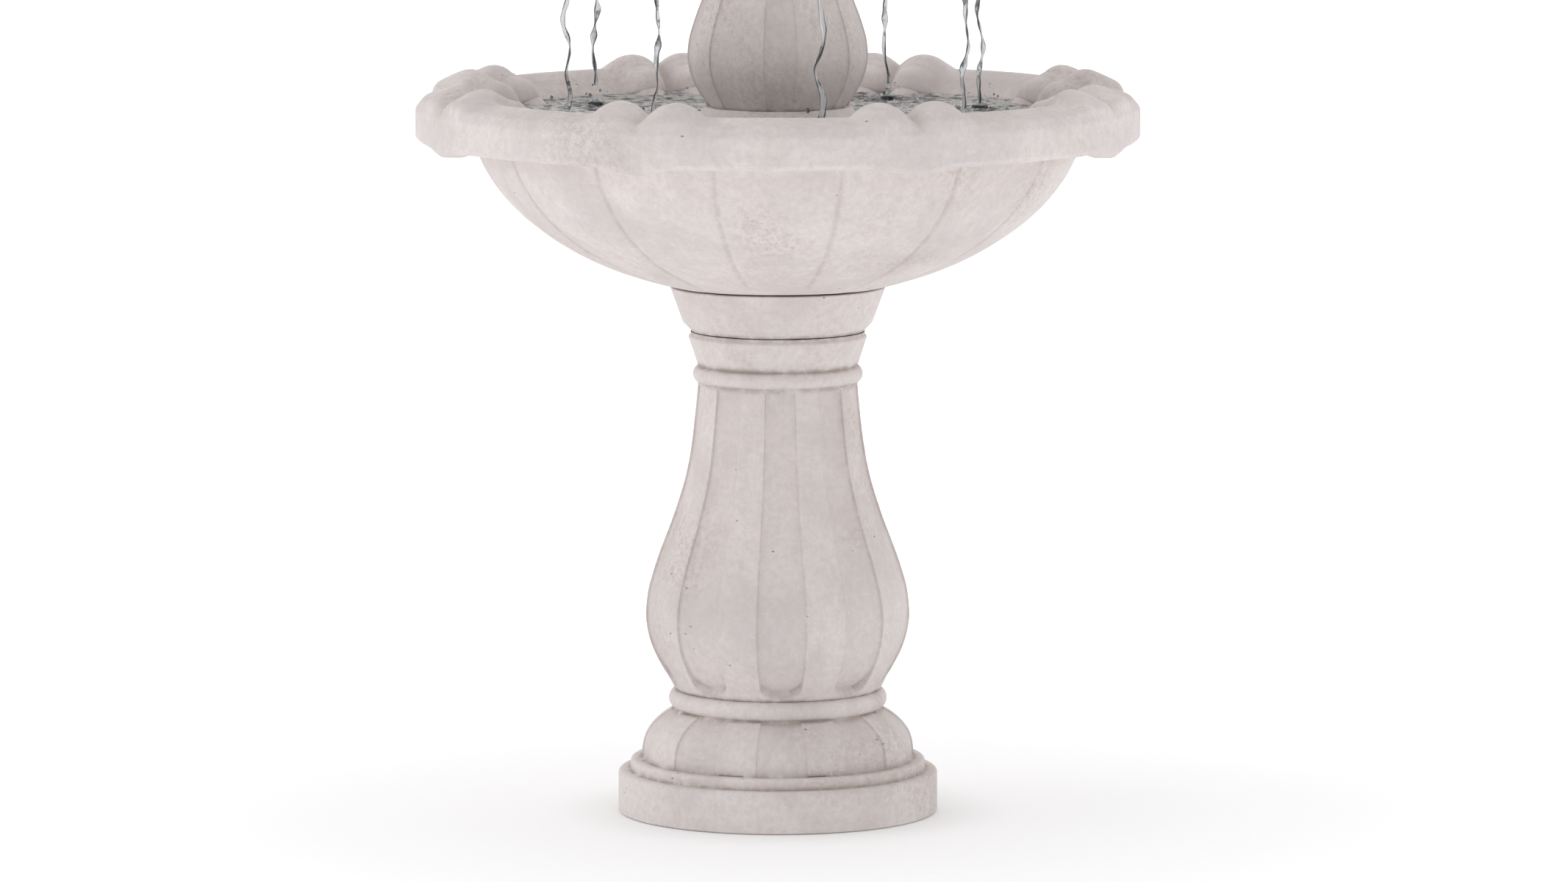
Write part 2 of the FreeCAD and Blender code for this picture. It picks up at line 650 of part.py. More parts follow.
def rotor_magnet():
    """Ring magnet that turns in the well."""
    return pipe("rotor_magnet", dim("rotor_radius"), dim("shaft_radius") + dim("shaft_play"),
                dim("rotor_length"), (dim("rotor_front"), 0.0, dim("pump_axis")), ALONG_X)


def impeller():
    """Hub disc with straight vanes, moulded on the magnet's nose."""
    axis = dim("pump_axis")
    nose_front = dim("nose_front")
    disc = rod("impeller_disc", dim("impeller_radius"), dim("disc_thickness"),
               (dim("disc_front"), 0.0, axis), ALONG_X)
    nose = rod("impeller_nose", dim("nose_radius"), dim("nose_length"),
               (nose_front, 0.0, axis), ALONG_X)
    half = dim("impeller_radius") - dim("vane_play")
    vanes = []
    for index in range(IMPELLER_VANES // 2):
        vane = doc.addObject("Part::Box", "vane_%d" % (index + 1))
        bind(vane, "Length", dim("vane_length"))
        bind(vane, "Width", half * 2)
        bind(vane, "Height", dim("vane_thickness"))
        turn = FreeCAD.Rotation(ALONG_X, 360.0 * index / IMPELLER_VANES)
        corner = turn.multVec(FreeCAD.Vector(
            nose_front.value, -half.value, -dim("vane_thickness").value / 2))
        place(vane, corner.x, corner.y, axis + corner.z, rotation=turn)
        vanes.append(vane)
    hole = rod("impeller_hole", dim("shaft_radius") + dim("shaft_play"),
               dim("nose_length") + THROUGH * 2, (nose_front - THROUGH, 0.0, axis), ALONG_X)
    return cut("impeller", fuse("impeller_solid", disc, nose, *vanes), hole)


def plate_front():
    """Front face of the chamber cover."""
    return dim("casing_front") - dim("gasket_thickness") - dim("plate_thickness")


def volute_cover():
    """Plate that closes the impeller chamber, with the suction eye and the front bearing."""
    axis = dim("pump_axis")
    width = dim("casing_width")
    front = plate_front()
    thick = dim("plate_thickness")
    drilled = front - THROUGH
    depth = thick + THROUGH * 2
    plate = block("cover_plate", (front, -width / 2, dim("casing_low")),
                  (thick, width, dim("casing_height")))
    eye = rod("suction_eye", dim("eye_radius"), depth, (drilled, 0.0, axis), ALONG_X)
    bar = block("bearing_bar", (front, -dim("bar_length") / 2, axis - dim("bar_width") / 2),
                (thick, dim("bar_length"), dim("bar_width")))
    seat = rod("bearing_seat", dim("seat_radius"), thick, (front, 0.0, axis), ALONG_X)
    bearing = rod("bearing_hole", dim("bush_radius"), depth, (drilled, 0.0, axis), ALONG_X)
    holes = []
    for index, (y, z) in enumerate(screw_places()):
        holes.append(rod("cover_screw_hole_%d" % (index + 1), dim("screw_hole_radius"), depth,
                         (drilled, y, z), ALONG_X))
    open_plate = cut("cover_open", plate, eye)
    return cut("volute_cover", fuse("cover_with_bearing", open_plate, bar, seat), bearing, *holes)


def screw_places():
    """Centres of the four cover screws, as (y, z)."""
    side = dim("casing_width") / 2 - dim("screw_inset")
    low = dim("casing_low") + dim("screw_inset")
    high = dim("casing_low") + dim("casing_height") - dim("screw_inset")
    return [(-side, low), (side, low), (-side, high), (side, high)]


def cover_screws():
    """Four pan-head screws through the cover plate."""
    under_head = plate_front() - THROUGH
    screws = []
    for index, (y, z) in enumerate(screw_places()):
        head = rod("screw_head_%d" % (index + 1), dim("screw_head_radius"),
                   dim("screw_head_height"), (plate_front() - dim("screw_head_height"), y, z),
                   ALONG_X)
        stem = rod("screw_stem_%d" % (index + 1), dim("screw_radius"), dim("screw_length"),
                   (under_head, y, z), ALONG_X)
        screws.append(fuse("screw_%d" % (index + 1), head, stem))
    return group("cover_screws", *screws)


def shaft_bushes():
    """Rubber bushes that hold the two ends of the ceramic shaft."""
    axis = dim("pump_axis")
    front = pipe("front_bush", dim("bush_radius"), dim("shaft_radius"), dim("bush_length"),
                 (dim("shaft_start"), 0.0, axis), ALONG_X)
    rear = pipe("rear_bush", dim("rear_bush_radius"), dim("shaft_radius"),
                dim("rear_bush_length"), (dim("rear_bush_start"), 0.0, axis), ALONG_X)
    return group("shaft_bushes", front, rear)


def cage():
    """Slotted strainer box over the suction eye."""
    width = dim("casing_width") - dim("cage_inset") * 2
    tall = dim("casing_height") - dim("cage_rise") * 2
    length = dim("cage_length")
    wall = dim("cage_wall")
    inset = dim("cage_slot_inset")
    front = plate_front() - length
    low = dim("casing_low") + dim("cage_rise")
    box = block("cage_box", (front, -width / 2, low), (length, width, tall))
    room = block("cage_room", (front + wall, -width / 2 + wall, low + wall),
                 (length, width - wall * 2, tall - wall * 2))
    pivot = rod("cage_pivot", dim("pivot_radius"), dim("stem_length"),
                (front - THROUGH, 0.0, dim("pump_axis")), ALONG_X)
    slots = []
    for index in range(CAGE_SLOTS):
        along = front + dim("cage_inset") + dim("cage_slot_pitch") * index
        slots.append(block("cage_slot_%d" % (index + 1),
                           (along, -width / 2 - THROUGH, low + inset),
                           (dim("cage_slot_width"), width + THROUGH * 2, tall - inset * 2)))
    return cut("intake_cage", box, room, pivot, *slots)


def regulator():
    """Turning shutter inside the cage, with its knob outside."""
    axis = dim("pump_axis")
    cage_front = plate_front() - dim("cage_length")
    thick = dim("knob_thickness")
    front = cage_front - thick - dim("knob_gap")
    knob = rod("regulator_disc", dim("knob_radius"), thick, (front, 0.0, axis), ALONG_X)
    pointer = block("regulator_pointer", (front, -thick / 2, axis),
                    (thick, thick, dim("pointer_length")))
    stem = rod("regulator_stem", dim("stem_radius"), dim("stem_length"), (front, 0.0, axis),
               ALONG_X)
    shutter = block("regulator_shutter",
                    (cage_front + dim("shutter_gap"), -dim("shutter_width") / 2,
                     axis - dim("shutter_height") / 2),
                    (dim("shutter_thickness"), dim("shutter_width"), dim("shutter_height")))
    return fuse("flow_regulator", knob, pointer, stem, shutter)


def pump_feet(floor):
    """Four suction-cup feet under the casing's corners."""
    feet = []
    for index, (x, y) in enumerate(PUMP_FOOT_PLACES):
        foot = doc.addObject("Part::Cone", "foot_%d" % (index + 1))
        bind(foot, "Radius1", dim("foot_radius"))
        bind(foot, "Radius2", dim("foot_top_radius"))
        bind(foot, "Height", dim("casing_low") - floor)
        place(foot, x, y, floor)
        feet.append(foot)
    return group("pump_feet", *feet)


def outlet_adapter():
    """Barbed spout that carries the riser tube."""
    casing_top = dim("casing_low") + dim("casing_height")
    rise = dim("tube_low") - casing_top
    foot = (0.0, 0.0, casing_top)
    flange = rod("outlet_flange", dim("flange_radius"), rise, foot)
    barb = rod("outlet_barb", dim("tube_radius") - dim("tube_wall"), rise + dim("barb_grip"), foot)
    hole = rod("outlet_hole", dim("outlet_radius"), rise + dim("barb_grip"), foot)
    return cut("outlet_adapter", fuse("outlet_solid", flange, barb), hole)


def tube_seal(low, floor):
    """Stopper round the riser tube in the upper bowl's bore."""
    sleeve_radius = dim("bowl_bore_radius") * dim("tier_scale") - dim("stopper_play")
    sleeve = rod("seal_sleeve", sleeve_radius, floor - low, (0.0, 0.0, low))
    flange = rod("seal_flange", dim("seal_radius"), dim("seal_thickness"), (0.0, 0.0, floor))
    hole = rod("seal_hole", dim("tube_radius") + dim("play"),
               floor - low + dim("seal_thickness") + THROUGH * 2, (0.0, 0.0, low - THROUGH))
    return cut("tube_seal", fuse("seal_solid", sleeve, flange), hole)


def nozzle(top):
    """Brass spout in the finial's cup."""
    stem_foot = top - dim("nozzle_depth") - dim("nozzle_stem")
    stem = rod("nozzle_stem", dim("tube_radius") + dim("nozzle_fit"), dim("nozzle_stem"),
               (0.0, 0.0, stem_foot))
    cup = rod("nozzle_cup", dim("nozzle_radius"), dim("nozzle_rise"),
              (0.0, 0.0, top - dim("nozzle_depth")))
    hole = rod("nozzle_hole", dim("outlet_radius"),
               dim("nozzle_stem") + dim("nozzle_rise") + THROUGH * 2,
               (0.0, 0.0, stem_foot - THROUGH))
    return cut("nozzle", fuse("nozzle_solid", stem, cup), hole)


# ---------------------------------------------------------------- assembly

def build():
    """Every piece, from the ground up."""
    base_top = dim("base_top")
    full = dim("full_scale")
    column_scale = dim("column_scale")
    tier_scale = dim("tier_scale")
    gap = dim("setting_gap")

    finish(pads("foot_pads", 4, dim("foot_pad_radius"), dim("foot_pad_ring"), 0.0,
                dim("plinth_low"), 45.0), "foot_pads")
    finish(pedestal_base(), "pedestal_base")
    finish(shaft("pedestal_shaft", base_top, full), "pedestal_shaft")
    capital_foot = base_top + dim("shaft_rise")
    finish(capital("pedestal_capital", capital_foot, full), "pedestal_capital")
    capital_top = capital_foot + dim("capital_rise")
    finish(pads("bowl_setting_pads", 4, dim("pad_radius"), dim("pad_ring"), capital_top, gap, 0.0),
           "bowl_setting_pads")

    bowl_low = capital_top + gap
    floor = bowl_low + dim("bowl_floor_rise")
    finish(bowl("lower_bowl", bowl_low, full, 0.0), "lower_bowl")
    finish(pipe("bowl_stopper", dim("bowl_bore_radius") - dim("stopper_play"),
                dim("cord_radius"), dim("bowl_floor_rise"), (0.0, 0.0, bowl_low)),
           "bowl_stopper")
    finish(cover_feet(floor), "pump_cover_feet")
    finish(pump_cover(floor + dim("inlet_height")), "pump_cover")

    axis = dim("pump_axis")
    core = finish(stator(), "stator_core")
    winding = finish(coil(), "motor_coil")
    finish(casing(), "pump_casing")
    finish(potting(core, winding), "motor_potting")
    finish(rotor_magnet(), "rotor_magnet")
    finish(impeller(), "impeller")
    finish(rod("rotor_shaft", dim("shaft_radius"), dim("shaft_length"),
               (dim("shaft_start"), 0.0, axis), ALONG_X), "rotor_shaft")
    finish(shaft_bushes(), "shaft_bushes")
    finish(volute_cover(), "volute_cover")
    gasket = dim("gasket_thickness")
    finish(pipe("cover_gasket", dim("gasket_radius"), dim("chamber_radius"), gasket,
                (dim("casing_front") - gasket, 0.0, axis), ALONG_X), "cover_gasket")
    finish(cover_screws(), "cover_screws")
    finish(cage(), "intake_cage")
    finish(regulator(), "flow_regulator")
    finish(pump_feet(floor), "pump_feet")
    casing_rear = dim("casing_front") + dim("casing_length")
    finish(pipe("cord_gland", dim("gland_radius"), dim("cord_radius"), dim("gland_length"),
                (casing_rear, 0.0, axis - dim("gland_drop")), ALONG_X), "cord_gland")
    finish(outlet_adapter(), "outlet_adapter")
    tube = dim("tube_radius")
    finish(pipe("riser_tube", tube, tube - dim("tube_wall"), dim("tube_top") - dim("tube_low"),
                (0.0, 0.0, dim("tube_low"))), "riser_tube")

    column_foot = dim("cover_top")
    finish(shaft("column_shaft", column_foot, column_scale), "column_shaft")
    column_neck = column_foot + dim("shaft_rise") * column_scale
    finish(capital("column_capital", column_neck, column_scale), "column_capital")
    column_top = column_neck + dim("capital_rise") * column_scale
    tier_gap = gap * column_scale
    finish(pads("tier_setting_pads", 3, dim("tier_pad_radius"), dim("tier_pad_ring"), column_top,
                tier_gap, 90.0), "tier_setting_pads")

    tier_low = column_top + tier_gap
    tier_floor = tier_low + dim("bowl_floor_rise") * tier_scale
    finish(bowl("upper_bowl", tier_low, tier_scale, dim("tier_turn").value), "upper_bowl")
    finish(tube_seal(tier_low, tier_floor), "tube_seal")
    finish(finial(tier_floor), "finial")
    finish(nozzle(tier_floor + dim("finial_rise")), "nozzle")


def check_and_write():
    """Stop on any failed object or bad shape, then write one STEP file for each node."""
    doc.recompute()
    for thing in doc.Objects:
        if "Invalid" in thing.State or "Error" in thing.State:
            raise RuntimeError("%s is in state %s" % (thing.Name, thing.State))
    for node in nodes:
        if node.Shape.isNull() or not node.Shape.isValid():
            raise RuntimeError("%s has a bad shape" % node.Label)
        if not node.Shape.Solids or node.Shape.Volume <= 0.0:
            raise RuntimeError("%s holds no solid" % node.Label)
    os.makedirs("parts", exist_ok=True)
    for node in nodes:
        node.Shape.exportStep(os.path.join("parts", node.Label + ".step"))
        box = node.Shape.BoundBox
        print("%-20s %2d solids %10.0f mm3  z %7.1f to %7.1f" % (
            node.Label, len(node.Shape.Solids), node.Shape.Volume, box.ZMin, box.ZMax))


build()
check_and_write()
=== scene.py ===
import bpy
import bmesh
import math
import random
import numpy as np
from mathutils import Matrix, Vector, noise


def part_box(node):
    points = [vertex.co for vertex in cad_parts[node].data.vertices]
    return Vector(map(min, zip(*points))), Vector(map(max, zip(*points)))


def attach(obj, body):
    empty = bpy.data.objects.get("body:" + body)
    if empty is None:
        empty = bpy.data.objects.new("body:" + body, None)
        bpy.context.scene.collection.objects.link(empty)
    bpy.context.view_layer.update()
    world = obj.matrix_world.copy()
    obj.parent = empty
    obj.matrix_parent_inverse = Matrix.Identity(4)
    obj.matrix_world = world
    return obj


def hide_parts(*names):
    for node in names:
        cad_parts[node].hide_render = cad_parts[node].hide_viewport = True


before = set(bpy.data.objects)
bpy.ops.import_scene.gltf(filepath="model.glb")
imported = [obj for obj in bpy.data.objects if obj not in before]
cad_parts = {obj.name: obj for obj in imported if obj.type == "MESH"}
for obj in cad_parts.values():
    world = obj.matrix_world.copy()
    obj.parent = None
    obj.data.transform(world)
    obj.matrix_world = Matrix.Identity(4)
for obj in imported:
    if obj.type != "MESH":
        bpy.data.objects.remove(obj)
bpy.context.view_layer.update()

# Lengths are in millimetres until a mesh is made. Angles are in degrees from +X.
MM = 0.001
TAU = 2 * math.pi

# The upper tier against the lower one
COLUMN_SCALE = 0.68
TIER_SCALE = 0.6
TIER_TURN = 11.5

# Flutes of the pedestal and the upper column
FLUTES = 9
FLUTE_PITCH = 40.0
FLUTE_START = -8.3
FLUTE_HALF = 10.75        # half a flute's width
FLUTE_EDGE = 0.22         # half the width over which its edge turns down
STEP_SHARE = 0.42         # the part of a flute's depth that is a step at its edge
SCOOP_DEPTH = 5.5
SCOOP_RISE = 8.0          # how far a scoop's ends stand above its middle

# Bowls, at the lower one's size
LOBE_PAIRS = 8
LOBE_SPREAD = 5.1         # from the middle of a pair to each lobe
LOBE_RADIUS = 34.0
LOBE_SINK = 21.0          # how far a lobe's middle lies under the rim
LOBE_EASE = 1.6           # how softly a lobe meets the rim
RIM_CREST = 316.0         # radius of the rim's highest line
RIM_UNDERSIDE = 137.0
GROOVES = 15
GROOVE_PITCH = 24.0
GROOVE_START = -6.0
GROOVE_WIDTH = 2.7
GROOVE_DEPTH = 1.7
SWELL_DEPTH = 0.7
SCALLOP_HALF = 4.2
SCALLOP_DROP = 6.4
UPPER_WATER_RISE = 187.6  # the upper water above its bowl's foot

# Water
WATER_LEVEL = 680.0
WATER_ALPHA = 0.80
WATER_TINT = (0.58, 0.575, 0.57)
# Painted shade on the steep flanks of the water's ripples.
FLANK_SHADE = 0.16        # how much of the tint is left on a steep flank
STEEPEST = 0.6
RIPPLES = ((34.0, 1.6), (15.0, 1.6), (7.5, 1.0))    # size and height
RING_HEIGHT = 2.4
RING_LENGTH = 8.5
RING_REACH = 20.0
STREAM_RADIUS = 206.0
STREAM_DRIFT = (0.0, 3.0, 6.0, 2.0, 0.0, 4.0, 0.0, 0.0)
STRAND_SIDES = 14
STRAND_STEPS = 120
DROPS = 9
CROWN_RADIUS = 8.5
CROWN_HEIGHT = 6.5

WEATHER_SIZE = 46.0       # size of the waves that a casting's surface has


# ------------------------------------------------------------------ small maths

def smooth(low, high, x):
    """0 below low, 1 above high, and smooth between."""
    t = np.clip((x - low) / (high - low), 0.0, 1.0)
    return t * t * (3 - 2 * t)


def wrapped(angle, period):
    """The angle brought to within half a period of 0."""
    return (angle + period / 2) % period - period / 2


def seat_height(node, top=False):
    """The height of a CAD node's underside or top, in millimetres."""
    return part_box(node)[1 if top else 0][2] / MM


# ------------------------------------------------------------------ outlines

def arc(centre, radius, start, end, count=10):
    """Points on an arc in the outline's plane, from one angle to another."""
    angles = np.radians(np.linspace(start, end, count))
    return [(centre[0] + radius * math.cos(a), centre[1] + radius * math.sin(a)) for a in angles]


def curve(points, spacing=2.5):
    """A smooth line through points (Catmull-Rom)."""
    p = [np.array(point, float) for point in points]
    p = [2 * p[0] - p[1]] + p + [2 * p[-1] - p[-2]]
    line = []
    for a, b, c, d in zip(p, p[1:], p[2:], p[3:]):
        steps = max(2, int(np.linalg.norm(c - b) / spacing))
        for t in np.linspace(0, 1, steps, endpoint=False):
            line.append(tuple(0.5 * ((2 * b) + (c - a) * t + (2 * a - 5 * b + 4 * c - d) * t ** 2
                                     + (3 * b - a - 3 * c + d) * t ** 3)))
    line.append(tuple(p[-2]))
    return line


def eased(points, count=6):
    """Round every corner that carries a third number, the radius, and leave the rest."""
    out = []
    for index, corner in enumerate(points):
        here = np.array(corner[:2], float)
        if len(corner) < 3:
            out.append(tuple(here))
            continue
        before = np.array(points[index - 1][:2], float) - here
        after = np.array(points[(index + 1) % len(points)][:2], float) - here
        reach = min(np.linalg.norm(before), np.linalg.norm(after)) * 0.48
        before /= np.linalg.norm(before)
        after /= np.linalg.norm(after)
        half = math.acos(max(-1.0, min(1.0, float(before @ after)))) / 2
        cut = min(corner[2] / math.tan(half), reach)
        start, end = here + before * cut, here + after * cut
        for t in np.linspace(0, 1, count):
            out.append(tuple((1 - t) ** 2 * start + 2 * t * (1 - t) * here + t * t * end))
    return out


def spaced(points, spacing):
    """A closed outline with no step longer than spacing."""
    out = []
    for a, b in zip(points, points[1:] + points[:1]):
        a, b = np.array(a, float), np.array(b, float)
        length = np.linalg.norm(b - a)
        if length < 1e-4:
            continue
        steps = max(1, math.ceil(length / spacing))
        out.extend(a + (b - a) * k / steps for k in range(steps))
    return np.array(out)


# ------------------------------------------------------------------ meshes

def columns(base, features=(), reach=0.0, finer=0):
    """Angles all round, with finer ones within reach of each feature."""
    angles = list(np.arange(0, 360, base))
    for feature in features:
        angles.extend((feature + np.linspace(-reach, reach, finer)) % 360)
    angles = np.unique(np.round(angles, 3))
    keep = [angles[0]]
    for angle in angles[1:]:
        if angle - keep[-1] > 0.04:
            keep.append(angle)
    return np.array(keep)


def grid_mesh(name, radius, height, angles, crevice=None, hollow=None, steep=None, closed=True):
    """A mesh turned about Z from arrays of radius and height, one row per outline point.

    crevice, hollow and steep are kept on its points for the materials, from 0 to 1: crevice for
    painted shade and dirt, hollow and steep for painted shade.
    """
    rows, count = radius.shape
    turn = np.radians(angles)[None, :]
    points = np.stack((radius * np.cos(turn), radius * np.sin(turn), height), -1)
    mesh = bpy.data.meshes.new(name)
    mesh.vertices.add(rows * count)
    mesh.vertices.foreach_set("co", (points.reshape(-1, 3) * MM).ravel())
    last = rows if closed else rows - 1
    i, j = np.meshgrid(np.arange(last), np.arange(count), indexing="ij")
    up, on = (i + 1) % rows, (j + 1) % count
    quads = np.stack((i * count + j, i * count + on, up * count + on, up * count + j), -1)
    quads = quads.reshape(-1, 4).astype(np.int32)
    mesh.loops.add(quads.size)
    mesh.loops.foreach_set("vertex_index", quads.ravel())
    mesh.polygons.add(len(quads))
    mesh.polygons.foreach_set("loop_start", np.arange(0, quads.size, 4, dtype=np.int32))
    mesh.update(calc_edges=True)
    mesh.validate()
    mesh.polygons.foreach_set("use_smooth", np.ones(len(mesh.polygons), bool))
    for layer_name, values in (("crevice", crevice), ("hollow", hollow), ("steep", steep)):
        if values is not None:
            layer = mesh.attributes.new(layer_name, "FLOAT", "POINT")
            values = np.broadcast_to(np.clip(values, 0, 1), radius.shape)
            layer.data.foreach_set("value", values.astype(np.float32).ravel())
    piece = bpy.data.objects.new(name, mesh)
    bpy.context.collection.objects.link(piece)
    return piece


def weathered(piece, depth, seed):
    """Push a cast surface in and out a little, along its normals."""
    mesh = piece.data
    offset = Vector((seed * 3.1, seed * 1.7, seed * 2.3))
    normals = [v.normal.copy() for v in mesh.vertices]
    for vertex, normal in zip(mesh.vertices, normals):
        place = vertex.co / (WEATHER_SIZE * MM) + offset
        wave = noise.noise(place) + 0.45 * noise.noise(place * 3.1)
        vertex.co += normal * (wave * depth * MM)
    mesh.update()
    return piece


def normals_of(outline):
    """Outward normals of a closed anticlockwise outline."""
    along = np.roll(outline, -1, 0) - np.roll(outline, 1, 0)
    out = np.stack((along[:, 1], -along[:, 0]), -1)
    return out / np.maximum(np.linalg.norm(out, axis=1, keepdims=True), 1e-9)


def turned_piece(name, outline, angles, push, crevice, hollow=None):
    """Turn an outline, pushed out along its normals by an array of rows by columns."""
    out = normals_of(outline)
    radius = outline[:, :1] + out[:, :1] * push
    height = outline[:, 1:] + out[:, 1:] * push
    return grid_mesh(name, radius, height, angles, crevice, hollow)


def flute_angles():
    """Columns for a fluted piece, close together at the flutes' edges."""
    edges = [FLUTE_START + FLUTE_PITCH * k + side * FLUTE_HALF
             for k in range(FLUTES) for side in (-1, 1)]
    return columns(1.25, edges, 0.9, 13)


def flutes(outline, angles, low, high, depth, scoop=0.0):
    """Flutes between two heights: their push, painted shade and dirt along their edges with a
    painted shadow at a scoop's foot, and their floor, where the stone paints shade.
    """
    around = np.abs(wrapped(angles - FLUTE_START, FLUTE_PITCH))[None, :]
    across = np.clip(around / FLUTE_HALF, 0, 1)
    z = outline[:, 1][:, None]
    bottom = low + scoop * across ** 3
    inside = smooth(FLUTE_HALF + FLUTE_EDGE, FLUTE_HALF - FLUTE_EDGE, around)
    span = smooth(bottom, bottom + 1.2, z) * smooth(high, high - 1.2, z)
    outer = (normals_of(outline)[:, 0] > 0.15)[:, None]
    foot = np.exp(-np.clip(z - bottom, 0, None) / 7.0) * (scoop > 0)
    floor = depth * (STEP_SHARE + (1 - STEP_SHARE) * (1 - across ** 2) ** 0.8)
    push = -(floor + SCOOP_DEPTH * foot) * inside * span * outer
    # Painted shade and dirt: a thin dark line along each flute's edge.
    edge = np.exp(-((around - FLUTE_HALF) / 0.42) ** 2) * 0.30
    # Painted shadow across the foot of a scooped flute, where it meets the ledge.
    ledge = 0.22 * inside * np.exp(-((z - bottom - 1.0) / 3.2) ** 2) * (scoop > 0)
    return push, (edge * span + ledge) * outer, inside * span * outer


def near(outline, *places, reach=4.0):
    """How near each outline point is to any of these places, from 1 to 0, as a column."""
    gap = np.min([np.linalg.norm(outline - np.array(place), axis=1) for place in places], axis=0)
    return np.exp(-(gap / reach) ** 2)[:, None]


# ------------------------------------------------------------------ stone pieces

def pedestal_base():
    """Plinth, step, fluted dome and collar bead."""
    bottom = seat_height("pedestal_base")
    outline = spaced(eased([
        (20.0, bottom), (155.3, bottom, 1.2), (155.3, 41.0, 4.5), (143.6, 41.0, 0.8),
        (143.3, 52.0, 4.0), (132.6, 52.0, 0.8),
    ]) + curve([
        (132.0, 54.0), (132.0, 61.0), (130.4, 70.0), (127.3, 78.0), (122.0, 85.4), (113.3, 93.4),
        (102.0, 100.6),
    ]) + arc((96.0, 111.0), 10.0, -72, 90, 20) + [
        (45.0, 121.0), (40.0, 121.0), (40.0, 128.8), (20.0, 128.8),
    ], 2.4)
    angles = flute_angles()
    push, line, floor = flutes(outline, angles, 53.2, 101.5, 3.4)
    # Painted shade and dirt along the joints between the plinth's step, dome and collar.
    joint_shade_and_dirt = near(outline, (143.6, 41.0), (132.6, 52.0), (101.0, 101.0), (98.0, 120.6), reach=3.0)
    return turned_piece("pedestal_base_stone", outline, angles, push, line * 0.7 + joint_shade_and_dirt, floor)


def shaft(name, foot, scale, scoop):
    """Fluted vase, ring and lower neck. Its flutes end in a scoop, or run down to the foot."""
    vase = curve([
        (100.0, 0.0), (105.0, 8.6), (110.5, 17.2), (118.4, 31.7), (124.1, 46.2), (127.3, 60.2),
        (128.3, 74.2), (126.1, 95.2), (121.6, 112.2), (115.7, 130.2), (109.3, 147.2),
        (102.8, 164.2), (96.7, 182.2), (91.5, 199.2), (87.4, 216.2), (84.7, 230.7),
        (82.6, 245.2), (81.0, 259.2), (79.7, 271.2), (78.6, 282.2), (77.2, 297.2),
    ])
    ring = arc((73.5, 307.4), 8.8, -62, 76, 18)
    neck = eased([(77.8, 317.2), (86.6, 343.6, 2.2), (84.4, 346.4, 1.0), (84.4, 349.7, 0.4)])
    inside = [(40.0, 349.7), (40.0, 357.7), (20.0, 357.7), (20.0, 9.0), (41.0, 9.0), (41.0, 0.0)]
    outline = np.array(vase + ring + neck + inside) * scale + (0.0, foot)
    outline = spaced([tuple(p) for p in outline], 2.6)
    angles = flute_angles()
    low = foot + (3.4 if scoop else -2.0)
    push, line, floor = flutes(outline, angles, low, foot + 297.0 * scale, 4.6 * scale, scoop)
    # Painted shade and dirt along the joints under and over the ring, at the neck's top and at the
    # foot.
    places = ((77.5, 299.0), (77.8, 316.5), (84.5, 349.0), (100.0, 0.0))
    joint_shade_and_dirt = near(outline, *((r * scale, foot + z * scale) for r, z in places), reach=3.0)
    return turned_piece(name, outline, angles, push, line + joint_shade_and_dirt, floor)


def capital(name, foot, scale):
    """Upper neck under a bowl."""
    outline = eased([
        (41.0, 0.0), (84.0, 0.0, 0.5), (85.0, 1.6, 3.0), (91.8, 8.4, 5.0), (104.2, 42.1, 1.2),
        (102.5, 43.0), (41.0, 43.0),
    ])
    outline = np.array(outline) * scale + (0.0, foot)
    outline = spaced([tuple(p) for p in outline], 2.6)
    angles = columns(1.5)
    flat = np.zeros((len(outline), len(angles)))
    # Painted shade and dirt along the capital's lower edge.
    joint_shade_and_dirt = near(outline, (84.0 * scale, foot + 0.5 * scale), reach=2.5)
    # Painted shade on the capital's top face, in the gap under the bowl.
    seat_shade = ((outline[:, 1] > foot + 42.9 * scale) & (outline[:, 0] < 102.0 * scale))[:, None]
    return turned_piece(name, outline, angles, flat, flat + joint_shade_and_dirt + seat_shade)


def bowl_outline():
    """Section of a bowl through a low part of its rim, from its underside."""
    belly = [(299.0 * math.sqrt(1 - ((171.3 - z) / 183.4) ** 2), z)
             for z in (0.0, 3.0, 7.0, 12.0, 18.0, 25.0, 33.0, 42.0, 52.0, 63.0, 75.0, 88.0,
                       102.0, 116.0, 127.0, 135.0)]
    wall = curve(belly, 3.0) + [(297.0, 139.2)]
    rim = eased([
        (314.0, 139.6), (345.0, 140.8, 2.2), (350.0, 145.0, 4.0), (350.0, 172.0, 7.0),
        (342.5, 181.2, 9.0), (314.0, 189.0, 11.0), (303.5, 181.5, 5.0), (285.0, 163.0, 4.0),
    ], 8)
    hollow = curve([(268.0, 144.0), (254.0, 116.0), (232.0, 88.0), (202.0, 62.0), (165.0, 43.0),
                    (140.0, 36.0), (118.0, 32.7)], 5.0)
    middle = [(18.0, 32.7), (18.0, -12.3), (38.0, -12.3), (38.0, 0.0)]
    return spaced([(100.0, 0.0)] + wall + rim + hollow + middle, 2.6)


